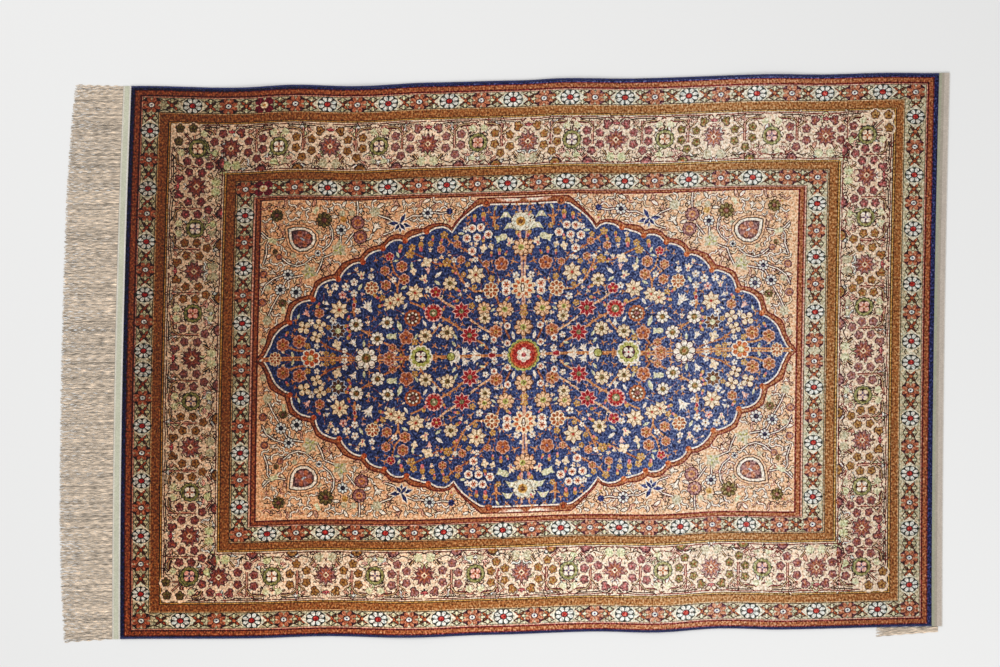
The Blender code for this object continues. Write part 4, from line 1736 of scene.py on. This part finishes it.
def outer_edges(places, triangles):
    """Border edges of a tile that lie on the rug's outline, as pairs of points with their triangle."""
    pairs = {}
    for number, (a, b, c) in enumerate(triangles.tolist()):
        for edge in ((a, b), (b, c), (c, a)):
            pairs[edge] = number
    found = []
    for (a, b), number in pairs.items():
        if (b, a) in pairs:
            continue
        first, second = places[a], places[b]
        for axis, rims in ((0, (0.0, CHART_LENGTH)), (1, (CORD_SQUARES, CHART_WIDTH - CORD_SQUARES))):
            for rim in rims:
                if abs(first[axis] - rim) < EDGE_SLACK and abs(second[axis] - rim) < EDGE_SLACK:
                    found.append((a, b, number))
    return found


def plain_uv(mesh, places, low, high):
    """A flat UV map over one rectangle of the chart, a little inside its square."""
    layer = mesh.uv_layers.new(name="OFBake")
    loops = np.empty(len(mesh.loops), dtype=np.int32)
    mesh.loops.foreach_get("vertex_index", loops)
    span = np.array([high.real - low.real, high.imag - low.imag])
    share = (places[loops] - np.array([low.real, low.imag])) / span
    inset = UV_MARGIN + (1.0 - 2 * UV_MARGIN) * share
    layer.data.foreach_set("uv", inset.ravel().astype(np.float32))


def tile_object(name, chart, low, high, height, material, underside=False):
    """One rectangle of the rug's face or back, with its dye on every face corner."""
    places, triangles, dyes = cut_tile(chart, low, high)
    world = rug_world(places, height)
    if underside:
        faces = triangles[:, ::-1].tolist()
        tints = dyes.tolist()
    else:
        world[:, 2] -= rim_drop(places)
        faces = triangles.tolist()
        tints = dyes.tolist()
        skirt = outer_edges(places, triangles)
        rim = sorted({point for a, b, _ in skirt for point in (a, b)})
        lower = {point: len(places) + number for number, point in enumerate(rim)}
        world = np.concatenate([world, rug_world(places[rim], SKIRT_FOOT)])
        places = np.concatenate([places, places[rim]])
        for a, b, number in skirt:
            faces.append([b, a, lower[a], lower[b]])
            tints.append(int(dyes[number]))
    made = mesh_object(name, world, faces, material)
    tint(made, DYES.values(), tints)
    plain_uv(made.data, places, low, high)
    return made


# Materials


class Look:
    """A material with its shader, and short ways to make and link its nodes."""

    def __init__(self, name, roughness, specular, sheen):
        self.material = bpy.data.materials.new(name)
        self.material.use_nodes = True
        self.nodes = self.material.node_tree.nodes
        self.links = self.material.node_tree.links
        self.shader = self.nodes["Principled BSDF"]
        self.shader.inputs["Roughness"].default_value = roughness
        self.shader.inputs["Specular IOR Level"].default_value = specular
        self.shader.inputs["Sheen Weight"].default_value = sheen

    def feed(self, socket, value):
        """Links a socket to another one, or sets it to a plain value."""
        if isinstance(value, bpy.types.NodeSocket):
            self.links.new(value, socket)
        else:
            socket.default_value = value

    def math(self, operation, *values):
        """A math node fed by sockets or numbers."""
        node = self.nodes.new("ShaderNodeMath")
        node.operation = operation
        for socket, value in zip(node.inputs, values):
            self.feed(socket, value)
        return node.outputs[0]

    def line(self, value, slope, start):
        """A value times a slope, plus a start."""
        return self.math("MULTIPLY_ADD", value, slope, start)

    def position(self):
        """World position."""
        return self.nodes.new("ShaderNodeNewGeometry").outputs["Position"]

    def scaled_place(self, scale):
        """World position times a scale along X and Y, and Z where a third is given."""
        node = self.nodes.new("ShaderNodeVectorMath")
        node.operation = "MULTIPLY"
        self.feed(node.inputs[0], self.position())
        self.feed(node.inputs[1], (*scale, 0.0)[:3])
        return node.outputs[0]

    def cells(self, long, wide):
        """One random value for every cell of a grid, its size given in metres."""
        floor = self.nodes.new("ShaderNodeVectorMath")
        floor.operation = "FLOOR"
        self.feed(floor.inputs[0], self.scaled_place((1 / long, 1 / wide)))
        noise = self.nodes.new("ShaderNodeTexWhiteNoise")
        self.feed(noise.inputs["Vector"], floor.outputs[0])
        return noise.outputs["Value"]

    def noise(self, scale, detail):
        """Smooth noise with its own scale along each axis."""
        node = self.nodes.new("ShaderNodeTexNoise")
        node.inputs["Scale"].default_value = 1.0
        node.inputs["Detail"].default_value = detail
        self.feed(node.inputs["Vector"], self.scaled_place(scale))
        return node.outputs["Fac"]

    def mix(self, kind, factor, first, second):
        """A colour mix of sockets or colours."""
        node = self.nodes.new("ShaderNodeMix")
        node.data_type = "RGBA"
        node.blend_type = kind
        for number, value in ((0, factor), (6, first), (7, second)):
            self.feed(node.inputs[number], value)
        return node.outputs[2]

    def shaded(self, colour, tone):
        """A colour times one tone for all three channels."""
        node = self.nodes.new("ShaderNodeCombineXYZ")
        for socket in node.inputs:
            self.feed(socket, tone)
        return self.mix("MULTIPLY", 1.0, colour, node.outputs[0])

    def dye(self):
        """The dye kept on every face corner."""
        node = self.nodes.new("ShaderNodeVertexColor")
        node.layer_name = "dye"
        return node.outputs["Color"]

    def finish(self, colour, height, strength, distance):
        """Sets the colour and the surface relief, and gives the material."""
        self.feed(self.shader.inputs["Base Color"], colour)
        node = self.nodes.new("ShaderNodeBump")
        node.inputs["Strength"].default_value = strength
        node.inputs["Distance"].default_value = distance
        self.feed(node.inputs["Height"], height)
        self.feed(self.shader.inputs["Normal"], node.outputs["Normal"])
        return self.material


# Painted shade and sheen: the pile leans one way, and the silk is painted deep and dark towards the
# fringe and pale with sheen past the middle, as its lie would catch the light
SHADE_SHEEN_MIDDLE = 0.76
SHADE_SHEEN_ALONG = 0.88
SHADE_SHEEN_ACROSS = -0.25
SHADE_SHEEN_DRIFT = 0.30
SHADE_SHEEN_LEAST = 0.24
SHADE_SHEEN_FAR = 1.5
SHADED_SILK = (0.45, 0.325, 0.25, 1.0)
SHEENED_SILK = (0.97, 0.92, 0.87, 1.0)
SHADED_GAMMA = 1.62
SHEENED_GAMMA = 0.84
LEAST_GAMMA = 0.4
GRAIN_GAMMA = 2.6

# Painted light: the near half is painted brighter, most at its fringe end, and a painted sheen band
# crosses the rug near both long sides
NEAR_PAINTED_LIGHT = -0.62
NEAR_PAINTED_LIGHT_TILT = 0.85
SHEEN_AT = -0.19
SHEEN_REACH = 0.38
SHEEN_GLOW = 1.25

# Hues that the dye drifts between, warm and cool
WARM_HUE = (1.32, 0.90, 0.70, 1.0)
COOL_HUE = (0.70, 1.10, 1.28, 1.0)


def knotted_colour(look, knots, knot, grain):
    """The dye as it is taken up: speckled from knot to knot, in streaks and in clouds."""
    pair = look.cells(2.2 * KNOT, 1.4 * KNOT)
    speck = look.line(knot, knots, 1.0 - knots / 2)
    speck = look.line(pair, knots * 0.8, speck)
    speck = look.math("SUBTRACT", speck, knots * 0.4)
    speck = look.math("MULTIPLY", speck, look.line(grain, 1.7, 0.15))
    streaks = look.line(look.noise((60.0, 7.0), 3.0), 0.34, 0.83)
    clouds = look.line(look.noise((5.0, 3.0), 1.0), 0.20, 0.90)
    tone = look.math("MULTIPLY", look.math("MULTIPLY", speck, streaks), clouds)
    hue = look.mix("MIX", look.noise((170.0, 220.0), 3.0), WARM_HUE, COOL_HUE)
    return look.mix("MULTIPLY", 1.0, look.shaded(look.dye(), tone), hue)


def silk_material(name, knots):
    """Knotted silk in the design's dyes, painted deep and dark towards the fringe and pale with sheen
    past the middle, with painted light over the near half and in a band near both long sides.
    """
    look = Look(name, roughness=0.6, specular=0.14, sheen=0.05)
    look.shader.inputs["Sheen Roughness"].default_value = 0.35
    knot = look.cells(KNOT, KNOT)
    grain = look.noise((300.0, 240.0), 2.0)
    colour = knotted_colour(look, knots, knot, grain)
    place = look.nodes.new("ShaderNodeSeparateXYZ")
    look.feed(place.inputs[0], look.position())
    x, y, _ = place.outputs
    near = look.math("MINIMUM", y, 0.0)

    # Painted shade and sheen: deep and dark towards the fringe, pale past the middle and over the near
    # side
    lie = look.line(near, SHADE_SHEEN_ACROSS, look.line(x, SHADE_SHEEN_ALONG, SHADE_SHEEN_MIDDLE))
    lie = look.math("MAXIMUM", lie, SHADE_SHEEN_LEAST)
    lie = look.math("MINIMUM", lie, look.line(x, -1.0, SHADE_SHEEN_FAR))
    lie = look.math("ADD", lie, look.line(look.noise((2.6, 6.0), 2.0), SHADE_SHEEN_DRIFT, -SHADE_SHEEN_DRIFT / 2))
    depth = look.line(lie, SHEENED_GAMMA - SHADED_GAMMA, SHADED_GAMMA)
    depth = look.line(grain, -GRAIN_GAMMA, look.math("ADD", depth, GRAIN_GAMMA / 2))
    deep = look.nodes.new("ShaderNodeGamma")
    look.feed(deep.inputs["Color"], colour)
    look.feed(deep.inputs["Gamma"], look.math("MAXIMUM", depth, LEAST_GAMMA))
    colour = look.mix("MULTIPLY", 1.0, deep.outputs["Color"], look.mix("MIX", lie, SHADED_SILK, SHEENED_SILK))

    # Painted light: brighter over the near half, most at its fringe end, and in a painted sheen band
    # near both long sides
    painted_light = look.line(near, look.line(x, NEAR_PAINTED_LIGHT_TILT, NEAR_PAINTED_LIGHT), 1.0)
    band = look.math("ABSOLUTE", look.math("SUBTRACT", x, SHEEN_AT))
    band = look.math("MAXIMUM", look.line(band, -1 / SHEEN_REACH, 1.0), 0.0)
    band = look.math("MULTIPLY", band, look.math("MULTIPLY", y, y))
    painted_light = look.line(band, SHEEN_GLOW, painted_light)
    return look.finish(look.shaded(colour, painted_light), knot, 0.35, 0.0006)


def fringe_material(name):
    """Ecru yarn in the tone of each strand, with painted shade along its kinks."""
    look = Look(name, roughness=0.75, specular=0.15, sheen=0.05)
    drift = look.noise((62.0, 380.0), 2.0)
    # Painted shade: the yarn darkens in short stretches along its length, where its kinks would lie in
    # shade
    tone = look.math("MAXIMUM", look.line(drift, 2.4, -0.2), 0.3)
    return look.finish(look.shaded(look.dye(), tone), drift, 0.3, 0.0004)


def cord_material(name, dark, light):
    """Overcast silk whose colour drifts between two dyes."""
    look = Look(name, roughness=0.6, specular=0.25, sheen=0.12)
    drift = look.noise((500.0, 120.0, 120.0), 3.0)
    ramp = look.nodes.new("ShaderNodeValToRGB")
    for stop, position, tone in zip(ramp.color_ramp.elements, (0.3, 0.7), (dark, light)):
        stop.position = position
        stop.color = (*[linear(value) for value in tone], 1.0)
    look.feed(ramp.inputs["Fac"], drift)
    return look.finish(ramp.outputs["Color"], drift, 0.3, 0.0004)


def band_material(name):
    """Flat weave: ribs across the width, in the tones of the strip."""
    look = Look(name, roughness=0.75, specular=0.25, sheen=0.1)
    picks = look.cells(PICK_LENGTH, PICK_WIDTH)
    drift = look.line(look.noise((90.0, 25.0), 3.0), 0.3, 0.86)
    tone = look.math("MULTIPLY", look.line(picks, 0.22, 0.86), drift)
    return look.finish(look.shaded(look.dye(), tone), picks, 0.4, 0.0005)


# Pieces beside the pile


def tube_faces(rings, sides, offset=0):
    """Faces of a closed tube whose points run ring by ring."""
    faces = []
    for number in range(rings - 1):
        base = offset + number * sides
        for side in range(sides):
            after = (side + 1) % sides
            faces.append([base + side, base + after, base + sides + after, base + sides + side])
    faces.append([offset + side for side in reversed(range(sides))])
    faces.append([offset + (rings - 1) * sides + side for side in range(sides)])
    return faces


def side_cord(name, side, first, last, material):
    """Half of one long side's cord: warps overcast with navy silk, a bulge for every wrap."""
    rings = int((last - first) * PILE_LENGTH / WRAP_STEP * WRAP_RINGS)
    along = np.linspace(first, last, rings)
    across = 0.5 + 0.5 * side * (1.0 - CORD_DIAMETER / PILE_WIDTH)
    x, y = on_rug(along, across + 0.0 * along)
    z = lift(along, across) + CORD_DIAMETER / 2
    swell = np.where(np.arange(rings) % WRAP_RINGS == 0, WRAP_WAIST, 1.0)
    wander = 1.0 - 0.03 * (1.0 + np.sin(along * 310.0) * np.sin(along * 97.0 + side))
    radius = CORD_DIAMETER / 2 * swell * wander
    points = []
    for k in range(CORD_SIDES):
        turn = math.tau * (k + 0.5) / CORD_SIDES
        points.append(np.stack([x, y + radius * math.cos(turn), z + radius * math.sin(turn)], axis=1))
    points = np.stack(points, axis=1).reshape(-1, 3)
    points[:, 2] = np.maximum(points[:, 2], 0.0)
    return mesh_object(name, points, tube_faces(rings, CORD_SIDES), material)


def strip_object(name, profile, end, material):
    """A woven strip along one end of the rug.

    profile lists offsets outwards from the seam with the pile, heights, and the tone of the
    stretch that begins there.
    """
    across = np.linspace(0.0, 1.0, STRIP_ROWS + 1)
    base_x = end_x(end, across) + SHIFT_X
    base_y = end_y(end, across) + SHIFT_Y
    wave = 0.5 + 0.5 * np.sin(across * 391.0 + 3.0 * np.sin(across * 43.0))
    points = []
    for out, height, _ in profile:
        x = base_x + end * (SEAM_GAP + out)
        points.append(np.stack([x, base_y, 0.0 * across + height - WEAVE_WAVE * wave], axis=1))
    points = np.stack(points, axis=1)
    points[..., 2] = np.maximum(points[..., 2], 0.0)
    count = len(profile)
    faces = []
    for row in range(STRIP_ROWS):
        for step in range(count):
            a = row * count + step
            b = row * count + (step + 1) % count
            faces.append([a, b, b + count, a + count])
    faces.append(list(range(count))[::-1])
    faces.append([STRIP_ROWS * count + number for number in range(count)])
    if end > 0:
        faces = [face[::-1] for face in faces]
    made = mesh_object(name, points.reshape(-1, 3), faces, material)
    names = list(BAND_TONES)
    tones = [names.index(tone) for _, _, tone in profile]
    tint(made, BAND_TONES.values(), tones * STRIP_ROWS + [tones[0]] * 2)
    return made


def yarn_height(number):
    """Height of a yarn's middle: they lie three deep."""
    return YARN_LAYER * (1 + (number % 3) / 2)


def strands(name, yarns, sway, steps, material, chance):
    """Many kinked yarns, each given as its root, its head, its length, height and width."""
    points, faces, shades = [], [], []
    share = np.linspace(0.0, 1.0, steps + 1)
    for number, (root, head, length, height, width) in enumerate(yarns):
        run = (head - root) / np.linalg.norm(head - root)
        aside = np.array([-run[1], run[0]])
        place = float(root[1])
        phase = 4.0 * math.sin(place * 57.0) + 3.0 * math.sin(place * 131.0) + chance.uniform(-1.1, 1.1)
        kink = math.tau * length / (KINK_LENGTH + KINK_DRIFT * math.sin(place * 83.0))
        lean = chance.uniform(-1.0, 1.0) * sway * YARN_LEAN
        swing = sway * np.sin(phase + kink * share) * np.minimum(1.0, share * 8) + lean * share ** 2
        line = root + np.outer(share * length, run) + np.outer(swing, aside)
        half = width / 2 * (1.0 - YARN_TAPER * share ** 3)
        bob = height + YARN_BOB * np.sin(phase * 2 + kink * 0.7 * share)
        thick = half * YARN_FLATNESS
        low = np.maximum(bob - thick, 0.0)
        rings = np.empty((steps + 1, 3, 3))
        for corner, (sideways, upward) in enumerate(((1.0, -0.5), (0.0, 1.0), (-1.0, -0.5))):
            rings[:, corner, :2] = line + np.outer(half * sideways, aside)
            rings[:, corner, 2] = np.maximum(bob + thick * upward, low)
        faces += tube_faces(steps + 1, 3, number * (steps + 1) * 3)
        shades += [chance.choice(range(len(YARN_SHADES)))] * (len(faces) - len(shades))
        points.append(rings.reshape(-1, 3))
    made = mesh_object(name, np.concatenate(points), faces, material)
    tint(made, [[value * shade for value in YARN_TONE] for shade in YARN_SHADES], shades)
    return made


def fringe_object(material):
    """The long fringe: fine ecru yarns in small bunches, lying three deep."""
    chance = random.Random(41)
    yarns = []
    for number in range(FRINGE_YARNS):
        across = (number + chance.uniform(0.1, 0.9)) / FRINGE_YARNS
        bunch = round(across * FRINGE_BUNCHES) / FRINGE_BUNCHES
        across_tip = across + (bunch - across) * BUNCH_PULL
        end = float(end_x(-1, across))
        flare = FRINGE_FLARE * (2 * across - 1) ** 5
        root = np.array([end - 2 * SEAM_GAP - BAND_WIDTH + SHIFT_X, float(end_y(-1, across)) + SHIFT_Y])
        tip = np.array([end - float(fringe_reach(across)) + SHIFT_X,
                        float(end_y(-1, across_tip)) + SHIFT_Y + flare])
        length = math.hypot(*(tip - root)) - chance.uniform(0.0, UNEVEN_TIPS) - TIP_SLACK
        yarns.append((root, tip, length, yarn_height(number), chance.uniform(0.0010, 0.0015)))
    return strands("fringe_yarns", yarns, 0.0012, FRINGE_STEPS, material, chance)


def tuft_object(material):
    """The lock of the turned end's fringe that lies along the near side."""
    chance = random.Random(5)
    high = float(side_y(-1, 1.0)) - SEAM_GAP
    yarns = []
    for number in range(TUFT_YARNS):
        share = (number + 0.5) / TUFT_YARNS
        root = np.array([float(end_x(1, 0.0)) + TUFT_STRIP_OUT + SHIFT_X,
                         high - TUFT_WIDTH * (0.06 + 0.5 * share) + SHIFT_Y])
        head = root - np.array([TUFT_LENGTH, TUFT_WIDTH * (0.42 * share - 0.02)])
        length = TUFT_LENGTH * chance.uniform(0.78, 1.03)
        yarns.append((root, head, length, yarn_height(number), chance.uniform(0.0009, 0.0013)))
    return strands("tuft_yarns", yarns, 0.0008, TUFT_STEPS, material, chance)


# Offsets outwards from the pile, heights, and the tone from there on, round each woven strip
BAND_PROFILE = (
    (0.0, 0.0, "white"),
    (0.0, 0.0012, "white"),
    (0.0006, 0.0016, "white"),
    (0.0030, 0.0015, "green"),
    (0.0034, 0.0014, "green"),
    (0.0086, 0.0016, "green"),
    (0.0120, 0.0015, "ivory"),
    (BAND_WIDTH - 0.0005, 0.0015, "ivory"),
    (BAND_WIDTH, 0.0010, "ivory"),
    (BAND_WIDTH, 0.0, "ivory"),
)
TURNED_PROFILE = (
    (0.0, 0.0017, "grey_green"),
    (0.0, 0.0026, "grey_green"),
    (0.0006, 0.0030, "grey_green"),
    (0.0050, 0.0029, "beige"),
    (0.0100, 0.0029, "pink"),
    (0.0150, 0.0030, "pink"),
    (TURNED_WIDTH - 0.0016, 0.0029, "white"),
    (TURNED_WIDTH - 0.0004, 0.0022, "pink"),
    (TURNED_WIDTH, 0.0015, "white"),
    (TURNED_WIDTH - 0.0004, 0.0008, "pink"),
    (TURNED_WIDTH - 0.0016, 0.0001, "pink"),
    (0.0, 0.0, "ivory"),
    (0.0, 0.0013, "ivory"),
    (TURNED_WIDTH - 0.0022, 0.0014, "ivory"),
    (TURNED_WIDTH - 0.0022, 0.0016, "ivory"),
)

# Building the rug

add_camera()
add_studio()

near_edge, far_edge = CORD_SQUARES, CHART_WIDTH - CORD_SQUARES
seam = complex(SEAM_COLUMN, SEAM_ROW)
face = (build_chart(), PILE_THICKNESS, silk_material("silk_pile", 0.46))
back = (build_chart(detail=False), 0.0, silk_material("silk_back", 0.4))
TILES = (
    ("pile_near_fringe", face, complex(0, near_edge), seam),
    ("pile_near_turned", face, complex(SEAM_COLUMN, near_edge), complex(CHART_LENGTH, SEAM_ROW)),
    ("pile_far_fringe", face, complex(0, SEAM_ROW), complex(SEAM_COLUMN, far_edge)),
    ("pile_far_turned", face, seam, complex(CHART_LENGTH, far_edge)),
    ("back_fringe", back, complex(0, near_edge), complex(SEAM_COLUMN, far_edge)),
    ("back_turned", back, complex(SEAM_COLUMN, near_edge), complex(CHART_LENGTH, far_edge)),
)
for name, (chart, height, silk), low, high in TILES:
    tile = tile_object(name, chart, low, high, height, silk, underside=chart.plain)
    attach(tile, "root")
    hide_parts("pile_panel")

navy = cord_material("navy_silk", (18, 22, 56), (44, 52, 104))
for side, word in ((1, "far"), (-1, "near")):
    for half in (0, 1):
        cord = side_cord(f"side_cord_{word}_{half}", side, half / 2, half / 2 + 0.5, navy)
        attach(cord, "root")
        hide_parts("side_cord_" + word)

woven = band_material("ivory_warp")
band = strip_object("band_weave", BAND_PROFILE, -1, woven)
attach(band, "root")
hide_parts("flat_band")

turned = strip_object("turned_weave", TURNED_PROFILE, 1, woven)
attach(turned, "root")
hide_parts("turned_end")

ecru = fringe_material("fringe_yarn")
for piece, node in ((fringe_object(ecru), "fringe"), (tuft_object(ecru), "corner_tuft")):
    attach(piece, "root")
    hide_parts(node)
